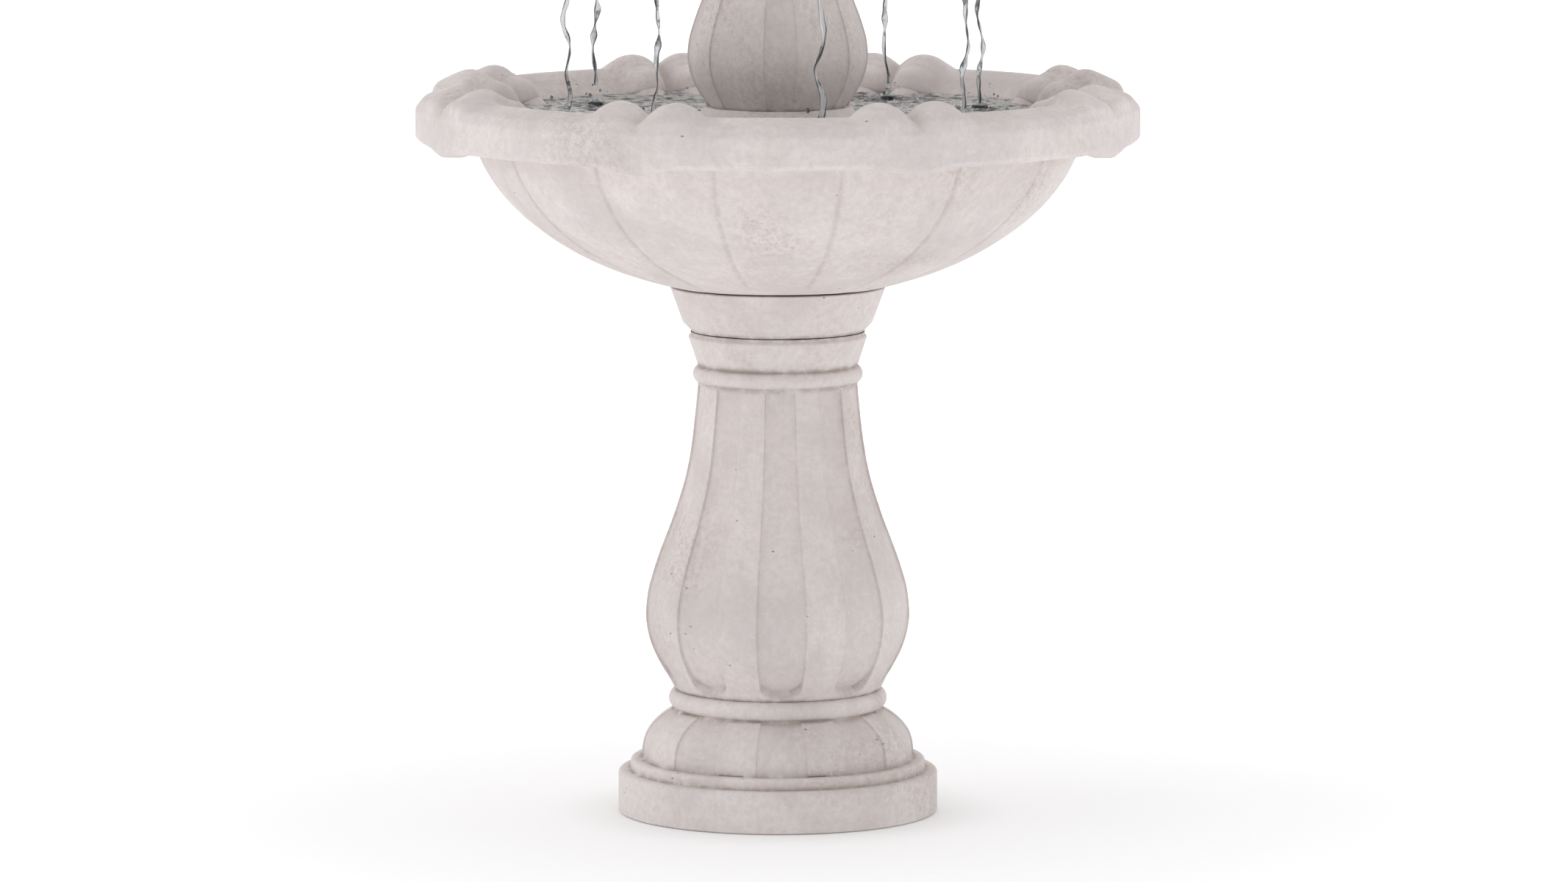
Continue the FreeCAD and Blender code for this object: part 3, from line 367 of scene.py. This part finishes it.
def bowl(name, low, scale, turn):
    """Bowl with paired lobes over its rim, scallops under them and grooves up its belly."""
    outline = bowl_outline()
    grooves = [GROOVE_START + turn + GROOVE_PITCH * k for k in range(GROOVES)]
    angles = columns(0.5, grooves, 0.75, 13)
    z = outline[:, 1][:, None]
    r = outline[:, 0][:, None]
    out = normals_of(outline)
    pair = wrapped(angles - 22.5 - turn, 360.0 / LOBE_PAIRS)[None, :]
    # lobes: round ridges that run in over the rim and down to the water
    across = np.abs(np.abs(pair) - LOBE_SPREAD) * math.radians(RIM_CREST)
    ridge = np.sqrt(np.maximum(LOBE_RADIUS ** 2 - across ** 2, 0.0)) - LOBE_SINK
    ridge = LOBE_EASE * np.log1p(np.exp(ridge / LOBE_EASE))
    face = smooth(168.0, 190.0, z) * (r > RIM_CREST)
    inner = smooth(112.0, 148.0, z) * (1 + 0.75 * smooth(186.0, 168.0, z)) * (r <= RIM_CREST)
    top = ((out[:, 1] > -0.2) & (outline[:, 1] > 130))[:, None]
    push = ridge * (face + inner) * top
    # belly grooves, and the slight swell between them
    groove = wrapped(angles - GROOVE_START - turn, GROOVE_PITCH)[None, :] * math.radians(1.0) * r
    under = ((out[:, 1] < 0.3) & (outline[:, 0] > 100) & (outline[:, 1] < 138))[:, None]
    run = smooth(0.5, 12.0, z) * smooth(139.0, 133.0, z) * under
    cut = np.exp(-(groove / GROOVE_WIDTH) ** 2)
    swell = np.cos(groove / np.maximum(r, 1.0) / math.radians(GROOVE_PITCH) * TAU)
    push = push - run * (GROOVE_DEPTH * cut + SWELL_DEPTH * (1 + swell) / 2)
    # scallops: under each pair the rim's outer edge hangs lower
    outer_face = smooth(RIM_CREST, 330.0, r) * smooth(173.0, 150.0, z)
    drop = SCALLOP_DROP * np.exp(-(pair / SCALLOP_HALF) ** 2) * outer_face * smooth(166.0, 141.0, z)
    radius = (r + out[:, :1] * push) * scale
    height = (z + out[:, 1:] * push - drop) * scale + low
    # Painted shade in the crease between the two lobes of each pair.
    lobe_valley_shade = np.exp(-(pair / 0.9) ** 2) * np.minimum(face + inner, 1.0) * top * 0.4
    # Painted shade on the bowl's foot, where it sits over the capital.
    seat_shade = (z < 0.4) & (r > 38.0) & (r < 104.0)
    # Painted shade and dirt along the belly grooves.
    return grid_mesh(name, radius, height, angles, run * cut * 0.3 + lobe_valley_shade + seat_shade)


def finial(foot):
    """Turned top piece."""
    outline = spaced(eased([
        (20.0, 0.0), (34.0, 0.0, 1.0), (34.0, 9.0, 2.0),
    ]) + curve([(28.0, 12.0), (20.5, 22.0), (16.8, 36.0), (16.0, 50.0)])
        + arc((13.5, 61.0), 6.0, -60, 60, 12)
        + curve([(17.5, 70.0), (24.0, 82.0), (32.0, 96.0), (36.0, 112.0), (33.5, 127.0),
                 (25.0, 138.5), (19.5, 143.0), (21.0, 148.0)])
        + eased([(27.0, 151.5, 1.5), (27.0, 156.0, 1.2), (14.2, 156.0, 0.6), (14.2, 150.0)])
        + [(10.0, 150.0), (10.0, 5.0), (20.0, 5.0)], 1.8)
    outline = outline + (0.0, foot)
    angles = columns(2.0)
    gadroon = np.cos(np.radians(angles) * 12)[None, :]
    z = outline[:, 1][:, None] - foot
    out = normals_of(outline)
    body = smooth(72.0, 84.0, z) * smooth(142.0, 130.0, z) * (out[:, :1] > 0)
    push = 1.1 * gadroon * body
    # Painted shade and dirt under the finial's beads and at its neck.
    places = ((16.0, 53.0), (17.0, 68.5), (19.5, 143.0))
    joint_shade_and_dirt = near(outline, *((r, foot + z) for r, z in places), reach=2.5)
    # Painted shade in the troughs between the gadroons.
    between = body * smooth(0.6, 1.0, -gadroon) * 0.5
    return turned_piece("finial_stone", outline, angles, push, between + joint_shade_and_dirt)


# ------------------------------------------------------------------ materials

class Nodes:
    """Short calls for one material's node tree."""

    def __init__(self, name):
        self.material = bpy.data.materials.new(name)
        self.material.use_nodes = True
        self.tree = self.material.node_tree
        self.shader = self.tree.nodes["Principled BSDF"]
        self.place = self.add("ShaderNodeTexCoord").outputs["Object"]

    def add(self, kind, **settings):
        node = self.tree.nodes.new(kind)
        for key, value in settings.items():
            if hasattr(node, key):
                setattr(node, key, value)
            else:
                node.inputs[key].default_value = value
        return node

    def join(self, source, target):
        self.tree.links.new(source, target)

    def noise(self, scale, detail=4.0, rough=0.55, stretch=None, distortion=0.0, turn=None):
        """A noise value from 0 to 1, in object space, perhaps turned and stretched."""
        node = self.add("ShaderNodeTexNoise")
        node.inputs["Scale"].default_value = scale
        node.inputs["Detail"].default_value = detail
        node.inputs["Roughness"].default_value = rough
        node.inputs["Distortion"].default_value = distortion
        source = self.place
        if stretch:
            mapping = self.add("ShaderNodeMapping")
            mapping.inputs["Scale"].default_value = stretch
            mapping.inputs["Rotation"].default_value = turn or (0.0, 0.0, 0.0)
            self.join(source, mapping.inputs["Vector"])
            source = mapping.outputs["Vector"]
        self.join(source, node.inputs["Vector"])
        return node.outputs["Fac"]

    def ramp(self, value, low, high):
        """0 where value is under low, 1 where it is over high."""
        node = self.add("ShaderNodeMapRange", interpolation_type="SMOOTHSTEP")
        node.inputs["From Min"].default_value = low
        node.inputs["From Max"].default_value = high
        self.join(value, node.inputs["Value"])
        return node.outputs["Result"]

    def math(self, operation, a, b):
        """One sum of two values or sockets."""
        node = self.add("ShaderNodeMath", operation=operation)
        for socket, value in zip(node.inputs, (a, b)):
            if isinstance(value, (int, float)):
                socket.default_value = value
            else:
                self.join(value, socket)
        return node.outputs[0]

    def blend(self, fac, a, b, mode="MIX"):
        """Colour a turned towards colour b where fac is 1."""
        node = self.add("ShaderNodeMix", data_type="RGBA", blend_type=mode)
        for index, value in ((0, fac), (6, a), (7, b)):
            if isinstance(value, (int, float)):
                node.inputs[index].default_value = value
            elif isinstance(value, tuple):
                node.inputs[index].default_value = (*value, 1.0)
            else:
                self.join(value, node.inputs[index])
        return node.outputs[2]

    def bump(self, value, distance, strength=1.0, below=None):
        """A bump in metres, on top of another one."""
        node = self.add("ShaderNodeBump")
        node.inputs["Distance"].default_value = distance
        node.inputs["Strength"].default_value = strength
        self.join(value, node.inputs["Height"])
        if below is not None:
            self.join(below, node.inputs["Normal"])
        return node.outputs["Normal"]

    def done(self, color=None, rough=None, normal=None, **settings):
        """Wire the shader and return the material."""
        for socket, value in (("Base Color", color), ("Roughness", rough), ("Normal", normal)):
            if value is None:
                continue
            if isinstance(value, (int, float)):
                self.shader.inputs[socket].default_value = value
            elif isinstance(value, tuple):
                self.shader.inputs[socket].default_value = (*value, 1.0)
            else:
                self.join(value, self.shader.inputs[socket])
        for key, value in settings.items():
            self.shader.inputs[key.replace("_", " ")].default_value = value
        return self.material


def stone_material():
    """Pale pinkish cast stone: mottling, beige stains, rubbed scratches, streaks and pits, with
    painted shade and dirt along its crevices and painted shade over its flutes' floors.
    """
    n = Nodes("cast_stone_weathered")
    pale = (0.768, 0.709, 0.695)
    grey = (0.660, 0.606, 0.595)
    beige = (0.470, 0.392, 0.330)
    chalk = (0.845, 0.795, 0.780)
    speckle = (0.590, 0.532, 0.510)
    soil_and_shade = (0.360, 0.292, 0.252)
    shade = (0.500, 0.448, 0.430)
    dark = (0.215, 0.165, 0.145)
    cloud = n.ramp(n.noise(9.0, 5.0, 0.6, distortion=0.6), 0.36, 0.66)
    color = n.blend(cloud, pale, grey)
    mottle = n.ramp(n.noise(150.0, 7.0, 0.78), 0.36, 0.66)
    color = n.blend(n.math("MULTIPLY", mottle, 0.52), color, speckle)
    rubbed = n.ramp(n.noise(26.0, 6.0, 0.75, stretch=(1.0, 1.0, 0.4)), 0.54, 0.72)
    color = n.blend(n.math("MULTIPLY", rubbed, 0.50), color, chalk)
    scratch = n.ramp(n.noise(34.0, 6.0, 0.7, stretch=(1.0, 1.0, 5.5), turn=(0.0, 0.45, 0.3)),
                     0.60, 0.72)
    color = n.blend(n.math("MULTIPLY", scratch, 0.45), color, chalk)
    patch = n.ramp(n.noise(7.5, 3.0, 0.5), 0.48, 0.64)
    broken = n.ramp(n.noise(190.0, 6.0, 0.8), 0.42, 0.64)
    stain = n.math("MULTIPLY", n.math("MULTIPLY", patch, broken), 0.54)
    color = n.blend(stain, color, beige)
    streak = n.ramp(n.noise(60.0, 5.0, 0.65, stretch=(1.0, 1.0, 0.12)), 0.58, 0.78)
    color = n.blend(n.math("MULTIPLY", streak, 0.24), color, beige)
    # Painted shade and dirt: the stone turns dark brown where the crevice attribute marks creases,
    # joints, seats, grooves and flute edges, broken up by noise.
    crevice = n.add("ShaderNodeAttribute", attribute_name="crevice").outputs["Fac"]
    crevice_dirt_and_shade = n.math("MULTIPLY", crevice, n.ramp(n.noise(52.0, 5.0, 0.7), 0.30, 0.58))
    color = n.blend(n.math("MULTIPLY", crevice_dirt_and_shade, 0.80), color, soil_and_shade)
    # Painted shade: the floor of each flute's recess is turned a little towards a darker shade
    # colour.
    hollow = n.add("ShaderNodeAttribute", attribute_name="hollow").outputs["Fac"]
    color = n.blend(n.math("MULTIPLY", hollow, 0.13), color, shade)
    pits = n.add("ShaderNodeTexVoronoi", feature="F1", Scale=62.0, Randomness=1.0)
    flattened = n.add("ShaderNodeMapping", Scale=(1.0, 1.0, 1.9))
    n.join(n.place, flattened.inputs["Vector"])
    n.join(flattened.outputs["Vector"], pits.inputs["Vector"])
    pit = n.ramp(pits.outputs["Distance"], 0.11, 0.05)
    rare = n.ramp(n.noise(31.0, 2.0, 0.5), 0.585, 0.64)
    pit = n.math("MULTIPLY", pit, rare)
    color = n.blend(n.math("MULTIPLY", pit, 0.70), color, dark)
    grain = n.noise(420.0, 5.0, 0.75)
    normal = n.bump(n.noise(48.0, 5.0, 0.6), 0.0010, 0.30)
    normal = n.bump(grain, 0.00045, 0.6, normal)
    normal = n.bump(n.math("MULTIPLY", scratch, -1.0), 0.0003, 0.4, normal)
    normal = n.bump(n.math("MULTIPLY", pit, -1.0), 0.0012, 0.8, normal)
    rough = n.math("ADD", n.math("MULTIPLY", grain, 0.18), 0.62)
    return n.done(color, rough, normal, IOR=1.45)


def water_material(name):
    """Clear water over grey stone: glossy and stirred, with painted shade on the steep flanks of
    its ripples.
    """
    n = Nodes(name)
    ripple = n.noise(62.0, 3.0, 0.55, distortion=1.6)
    normal = n.bump(ripple, 0.007, 1.0)
    # Painted shade: the water's tint turns dark where its ripples are steep.
    steep = n.add("ShaderNodeAttribute", attribute_name="steep").outputs["Fac"]
    steep = n.ramp(n.math("ADD", steep, n.math("MULTIPLY", ripple, 0.30)), 0.34, 0.58)
    color = n.blend(steep, WATER_TINT, tuple(FLANK_SHADE * part for part in WATER_TINT))
    return n.done(color, 0.03, normal, IOR=1.333, Alpha=WATER_ALPHA)


def stream_material():
    """Falling water: clear on the flat of a strand, with painted shade on its thin edges, where
    real water bends the light, and in bands along it.
    """
    n = Nodes("falling_water")
    normal = n.bump(n.noise(120.0, 2.0, 0.5), 0.001, 0.25)
    # Painted shade along each strand's thin edges and in noisy bands along it.
    edge = n.add("ShaderNodeAttribute", attribute_name="edge").outputs["Fac"]
    edge = n.ramp(edge, 0.62, 0.92)
    bands = n.ramp(n.noise(85.0, 3.0, 0.6, stretch=(1.0, 1.0, 0.6)), 0.54, 0.60)
    shade = n.math("MAXIMUM", n.math("MULTIPLY", edge, 0.9), n.math("MULTIPLY", bands, 0.8))
    color = n.blend(shade, (0.84, 0.86, 0.87), (0.030, 0.030, 0.032))
    return n.done(color, 0.03, normal, IOR=1.333, Transmission_Weight=0.62)


def plain_material(name, color, rough, grain=300.0, depth=0.0002, variation=0.12, metal=0.0,
                   stretch=None, **settings):
    """Moulded, drawn or ground material: slight colour change, grain and roughness that varies with
    wear.
    """
    n = Nodes(name)
    shade = tuple(c * (1 - variation) for c in color)
    mix = n.blend(n.noise(40.0, 4.0, 0.6, stretch=stretch), color, shade)
    fine = n.noise(grain, 4.0, 0.6, stretch=stretch)
    normal = n.bump(fine, depth, 0.5)
    gloss = n.math("ADD", n.math("MULTIPLY", fine, 0.16), max(0.02, rough - 0.08))
    return n.done(mix, gloss, normal, Metallic=metal, **settings)


def assign(piece, material):
    """Give a piece one material."""
    piece.data.materials.clear()
    piece.data.materials.append(material)


# ------------------------------------------------------------------ stone and water in place

stone = stone_material()


def stone_piece(piece, node, body, seed, depth=0.28):
    """A finished stone piece that stands for a CAD node."""
    weathered(piece, depth, seed)
    assign(piece, stone)
    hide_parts(node)
    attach(piece, body)
    return piece


def cut_notch(piece):
    """Open the cord's way out under the back of the plinth."""
    bpy.ops.mesh.primitive_cube_add(size=1.0)
    box = bpy.context.object
    box.name = "notch_cutter"
    box.scale = (30 * MM, 165 * MM, 40 * MM)
    box.location = (0.0, 82.5 * MM, 0.0)
    bpy.context.view_layer.update()
    cutter = piece.modifiers.new("notch", "BOOLEAN")
    cutter.object = box
    cutter.operation = "DIFFERENCE"
    cutter.solver = "EXACT"
    depsgraph = bpy.context.evaluated_depsgraph_get()
    mesh = bpy.data.meshes.new_from_object(piece.evaluated_get(depsgraph))
    piece.modifiers.clear()
    piece.data = mesh
    bpy.data.objects.remove(box)
    return piece


def build_stone():
    """Every casting."""
    stone_piece(cut_notch(pedestal_base()), "pedestal_base", "pedestal", 1)
    foot = seat_height("pedestal_shaft")
    stone_piece(shaft("pedestal_shaft_stone", foot, 1.0, SCOOP_RISE), "pedestal_shaft",
                "pedestal", 2)
    foot = seat_height("pedestal_capital")
    stone_piece(capital("pedestal_capital_stone", foot, 1.0), "pedestal_capital", "pedestal", 3)
    low = seat_height("bowl_setting_pads", top=True)
    stone_piece(bowl("lower_bowl_stone", low, 1.0, 0.0), "lower_bowl", "lower_bowl", 4, 0.35)
    foot = seat_height("column_shaft")
    stone_piece(shaft("column_shaft_stone", foot, COLUMN_SCALE, 0.0), "column_shaft",
                "upper_column", 5, 0.2)
    foot = seat_height("column_capital")
    stone_piece(capital("column_capital_stone", foot, COLUMN_SCALE), "column_capital",
                "upper_column", 6, 0.2)
    low = seat_height("tier_setting_pads", top=True)
    stone_piece(bowl("upper_bowl_stone", low, TIER_SCALE, TIER_TURN), "upper_bowl",
                "upper_bowl", 7, 0.2)
    stone_piece(finial(seat_height("finial")), "finial", "finial", 8, 0.12)


def ripples(x, y, calm):
    """Height of a stirred water surface."""
    high = 0.0
    for size, depth in RIPPLES:
        high += depth * noise.noise(Vector((x / size, y / (size * 0.8), size)))
    return high * calm


def water_sheet(name, inner, outer, level, body, rings_at=(), calm=1.0):
    """A rippled ring of water, with rings that spread where the streams land."""
    radii = np.arange(inner, outer + 1.0, 2.4)
    angles = columns(0.8)
    radius = np.repeat(radii[:, None], len(angles), 1)
    height = np.zeros_like(radius)
    turn = np.radians(angles)
    for i, r in enumerate(radii):
        for j, a in enumerate(turn):
            height[i, j] = ripples(r * math.cos(a), r * math.sin(a), calm)
    for x, y in rings_at:
        gap = np.hypot(radius * np.cos(turn) - x, radius * np.sin(turn) - y)
        height += RING_HEIGHT * np.cos(gap / RING_LENGTH * TAU) * np.exp(-gap / RING_REACH)
    outward = np.gradient(height, radii, axis=0)
    around = np.gradient(height, math.radians(angles[1]), axis=1) / radius
    # steep marks where the water material paints shade on the ripples' flanks.
    steep = np.hypot(outward, around) / STEEPEST
    piece = grid_mesh(name, radius, height + level, angles, steep=steep, closed=False)
    assign(piece, water_material(name + "_look"))
    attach(piece, body)
    return piece


def stream_feet():
    """Where the eight streams come down."""
    feet = []
    for k in range(LOBE_PAIRS):
        angle = math.radians(TIER_TURN + 45.0 * k - 90.0 + STREAM_DRIFT[k])
        feet.append((STREAM_RADIUS * math.cos(angle), STREAM_RADIUS * math.sin(angle), angle))
    return feet


def strand(name, path, widths, flat, twist):
    """A falling strand: a tube whose section flattens and twists, with its thin edges marked for
    painted shade.
    """
    sides = STRAND_SIDES
    points = []
    for k, (x, y, z) in enumerate(path):
        for s in range(sides):
            a = TAU * s / sides
            u, v = widths[k] * math.cos(a), widths[k] * flat[k] * math.sin(a)
            c, d = math.cos(twist[k]), math.sin(twist[k])
            points.append(((x + u * c - v * d) * MM, (y + u * d + v * c) * MM, z * MM))
    faces = []
    for k in range(len(path) - 1):
        for s in range(sides):
            on = (s + 1) % sides
            faces.append((k * sides + s, (k + 1) * sides + s, (k + 1) * sides + on, k * sides + on))
    faces.append(tuple(range(sides)))
    faces.append(tuple(reversed(range((len(path) - 1) * sides, len(path) * sides))))
    mesh = bpy.data.meshes.new(name)
    mesh.from_pydata(points, [], faces)
    mesh.polygons.foreach_set("use_smooth", [True] * len(mesh.polygons))
    edge = mesh.attributes.new("edge", "FLOAT", "POINT")
    thin = [abs(math.cos(TAU * s / sides)) for s in range(sides)]
    edge.data.foreach_set("value", thin * len(path))
    piece = bpy.data.objects.new(name, mesh)
    bpy.context.collection.objects.link(piece)
    return piece


def streams(material):
    """Eight wobbling strands from the upper rim to the lower water, each with a few drops."""
    lip = seat_height("upper_bowl", top=True) - 7.5
    edge = seat_height("tier_setting_pads", top=True) + RIM_UNDERSIDE * TIER_SCALE
    for index, (x, y, angle) in enumerate(stream_feet()):
        rng = random.Random(100 + index)
        radial = (math.cos(angle), math.sin(angle))
        path, widths, flat, twist = [], [], [], []
        for r, z in ((186.0, lip), (190.0, lip + 1.2), (197.0, lip), (204.0, lip - 4.5),
                     (210.2, lip - 10.0), (211.0, lip - 16.0), (210.8, edge + 3.0)):
            path.append((r * radial[0], r * radial[1], z))
            widths.append(3.4)
            flat.append(0.35)
            twist.append(angle + math.pi / 2)
        bottom = WATER_LEVEL + rng.choice((0.0, 0.0, 22.0, 12.0))
        seeds = [rng.uniform(0, 50) for _ in range(4)]
        for k in range(STRAND_STEPS + 1):
            t = k / STRAND_STEPS
            z = edge - 2.0 + (bottom - edge) * t
            sway = 2.0 + 7.5 * t
            dx = noise.noise(Vector((seeds[0], z / 36.0, 0.0))) * sway
            dy = noise.noise(Vector((seeds[1], z / 36.0, 0.0))) * sway
            path.append((x + dx, y + dy, z))
            swell = noise.noise(Vector((seeds[2], z / 13.0, 0.0)))
            widths.append(max(0.9, 2.6 - 0.4 * t + 2.7 * swell))
            flat.append(0.62 + 0.3 * noise.noise(Vector((seeds[3], z / 30.0, 0.0))))
            twist.append(angle + math.pi / 2 + z / 26.0 + seeds[3])
        piece = strand("stream_%d" % (index + 1), path, widths, flat, twist)
        assign(piece, material)
        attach(piece, "upper_bowl")
        drops(index, (path[-1][0], path[-1][1]), bottom, rng, material)


def drops(index, foot, bottom, rng, material):
    """Loose drops and a little crown where a stream lands."""
    gathered = bmesh.new()
    for _ in range(DROPS):
        spread = rng.uniform(2.0, 20.0)
        turn = rng.uniform(0, TAU)
        rise = rng.uniform(2.0, 22.0)
        size = rng.uniform(0.8, 2.2)
        place = Vector((foot[0] + spread * math.cos(turn), foot[1] + spread * math.sin(turn),
                        WATER_LEVEL + rise)) * MM
        made = bmesh.ops.create_icosphere(gathered, subdivisions=2, radius=size * MM)
        for vertex in made["verts"]:
            vertex.co.z *= rng.uniform(1.0, 1.02) * 1.25
            vertex.co += place
    crown = bmesh.ops.create_icosphere(gathered, subdivisions=3, radius=1.0)
    for vertex in crown["verts"]:
        lump = 1 + 0.3 * noise.noise(vertex.co * 2.5 + Vector((index, 0, 0)))
        vertex.co = Vector((foot[0] * MM + vertex.co.x * CROWN_RADIUS * MM * lump,
                            foot[1] * MM + vertex.co.y * CROWN_RADIUS * MM * lump,
                            WATER_LEVEL * MM + vertex.co.z * CROWN_HEIGHT * MM * lump))
    mesh = bpy.data.meshes.new("splash_%d" % (index + 1))
    gathered.to_mesh(mesh)
    gathered.free()
    mesh.polygons.foreach_set("use_smooth", [True] * len(mesh.polygons))
    # Painted shade: the crown and any drops are dark low down, near the water.
    edge = mesh.attributes.new("edge", "FLOAT", "POINT")
    rise = [vertex.co.z / MM - WATER_LEVEL for vertex in mesh.vertices]
    edge.data.foreach_set("value", [1.0 - float(smooth(2.5, CROWN_HEIGHT, z)) for z in rise])
    piece = bpy.data.objects.new("splash_%d" % (index + 1), mesh)
    bpy.context.collection.objects.link(piece)
    assign(piece, material)
    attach(piece, "lower_bowl")


def build_water():
    """Both pools and the eight streams."""
    feet = [(x, y) for x, y, _ in stream_feet()]
    water_sheet("lower_water", 79.0, 286.5, WATER_LEVEL, "lower_bowl", rings_at=feet)
    level = seat_height("tier_setting_pads", top=True) + UPPER_WATER_RISE * TIER_SCALE
    water_sheet("upper_water", 19.0, 313.0 * TIER_SCALE, level, "upper_bowl", calm=0.5)
    streams(stream_material())


# ------------------------------------------------------------------ small pieces

def build_details():
    """Materials for the CAD pieces that stay as they are."""
    rubber = plain_material("black_rubber_look", (0.028, 0.027, 0.027), 0.7, 500.0, 0.0002, 0.3)
    clear = plain_material("clear_rubber_look", (0.50, 0.51, 0.50), 0.35, 300.0, 0.0001, 0.1)
    black = plain_material("black_plastic_look", (0.022, 0.022, 0.024), 0.48, 900.0, 0.0001, 0.25)
    grey = plain_material("grey_plastic_look", (0.24, 0.25, 0.26), 0.42, 900.0, 0.0001)
    white = plain_material("white_plastic_look", (0.70, 0.70, 0.67), 0.38, 700.0, 0.0001)
    magnet = plain_material("ferrite_look", (0.06, 0.06, 0.065), 0.42, 600.0, 0.0001, 0.3)
    ceramic = plain_material("ceramic_look", (0.80, 0.78, 0.72), 0.15, 500.0, 0.00003, 0.05)
    steel = plain_material("lamination_look", (0.36, 0.36, 0.38), 0.4, 90.0, 0.0003, 0.3, 1.0,
                           stretch=(12.0, 0.3, 0.3))
    copper = plain_material("copper_look", (0.55, 0.22, 0.10), 0.3, 160.0, 0.0004, 0.3, 1.0,
                            stretch=(9.0, 0.3, 0.3))
    resin = plain_material("resin_look", (0.03, 0.03, 0.034), 0.2, 80.0, 0.0002, 0.2)
    screws = plain_material("screw_look", (0.58, 0.58, 0.60), 0.25, 400.0, 0.00008, 0.1, 1.0)
    vinyl = plain_material("vinyl_look", (0.80, 0.84, 0.84), 0.15, 60.0, 0.0002, 0.05, Alpha=0.55)
    brass = plain_material("brass_look", (0.42, 0.30, 0.14), 0.42, 240.0, 0.0002, 0.35, 1.0)
    looks = {
        "pump_cover": stone, "pump_cover_feet": stone,
        "foot_pads": rubber, "bowl_setting_pads": rubber, "tier_setting_pads": rubber,
        "bowl_stopper": rubber, "tube_seal": rubber, "shaft_bushes": rubber,
        "cover_gasket": rubber, "cord_gland": rubber, "pump_feet": clear,
        "pump_casing": black, "volute_cover": black, "intake_cage": black,
        "outlet_adapter": black, "flow_regulator": grey, "impeller": white,
        "rotor_magnet": magnet, "rotor_shaft": ceramic, "stator_core": steel,
        "motor_coil": copper, "motor_potting": resin, "cover_screws": screws,
        "riser_tube": vinyl, "nozzle": brass,
    }
    for node, material in looks.items():
        assign(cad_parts[node], material)


# ------------------------------------------------------------------ studio

def build_studio():
    """Pale glowing floor with painted shade around the base and a painted contact shadow at it,
    even white surroundings, and one broad soft light from the left.
    """
    size = 14.0
    mesh = bpy.data.meshes.new("floor")
    mesh.from_pydata([(-size, -size, 0), (size, -size, 0), (size, size, 0), (-size, size, 0)], [],
                     [(0, 1, 2, 3)])
    floor = bpy.data.objects.new("floor", mesh)
    bpy.context.collection.objects.link(floor)
    n = Nodes("floor_white")
    reach = n.add("ShaderNodeVectorMath", operation="LENGTH")
    n.join(n.place, reach.inputs[0])
    # Painted shade: the floor's glow fades towards the base.
    glow = n.math("MULTIPLY_ADD", n.ramp(reach.outputs["Value"], 0.15, 1.6), 0.24)
    glow.node.inputs[2].default_value = 0.09
    # Painted contact shadow: the glow drops a little more close round the plinth.
    close = n.math("MULTIPLY", n.ramp(reach.outputs["Value"], 0.150, 0.235), 0.07)
    n.join(n.math("ADD", glow, close), n.shader.inputs["Emission Strength"])
    assign(floor, n.done((0.90, 0.90, 0.905), 0.8, Specular_IOR_Level=0.1,
                         Emission_Color=(1.0, 1.0, 1.0, 1.0)))

    world = bpy.data.worlds.new("studio")
    bpy.context.scene.world = world
    world.use_nodes = True
    tree = world.node_tree
    background = tree.nodes["Background"]
    where = tree.nodes.new("ShaderNodeTexCoord")
    split = tree.nodes.new("ShaderNodeSeparateXYZ")
    tree.links.new(where.outputs["Generated"], split.inputs[0])
    ramp = tree.nodes.new("ShaderNodeValToRGB")
    ramp.color_ramp.elements[0].position = 0.0
    ramp.color_ramp.elements[0].color = (1.0, 0.995, 0.995, 1)
    ramp.color_ramp.elements[1].position = 1.0
    ramp.color_ramp.elements[1].color = (0.78, 0.78, 0.78, 1)
    tree.links.new(split.outputs["Z"], ramp.inputs["Fac"])
    tree.links.new(ramp.outputs["Color"], background.inputs["Color"])
    front = tree.nodes.new("ShaderNodeMapRange")
    settings = {"From Min": -1.0, "From Max": 0.1, "To Min": 0.72, "To Max": 1.14}
    for socket, value in settings.items():
        front.inputs[socket].default_value = value
    tree.links.new(split.outputs["Y"], front.inputs["Value"])
    tree.links.new(front.outputs["Result"], background.inputs["Strength"])

    lamp = bpy.data.lights.new("key", "AREA")
    lamp.size = 3.0
    lamp.energy = 18.0
    key = bpy.data.objects.new("key", lamp)
    bpy.context.collection.objects.link(key)
    key.location = (-4.4, -0.8, 2.4)
    aim = Vector((0, 0, 0.6)) - key.location
    key.rotation_euler = aim.to_track_quat("-Z", "Y").to_euler()


def build_camera():
    """A long lens, seven degrees above the level."""
    lens = bpy.data.cameras.new("camera")
    lens.sensor_width = 36.0
    lens.lens = 200.8
    lens.clip_end = 60.0
    camera = bpy.data.objects.new("camera", lens)
    bpy.context.collection.objects.link(camera)
    camera.location = (0.006, -8.427, 1.395)
    camera.rotation_euler = (math.radians(90.0 - 6.99), 0.0, 0.0)
    bpy.context.scene.camera = camera
    bpy.context.scene.view_settings.view_transform = "Standard"


build_camera()
build_stone()
build_water()
build_details()
build_studio()
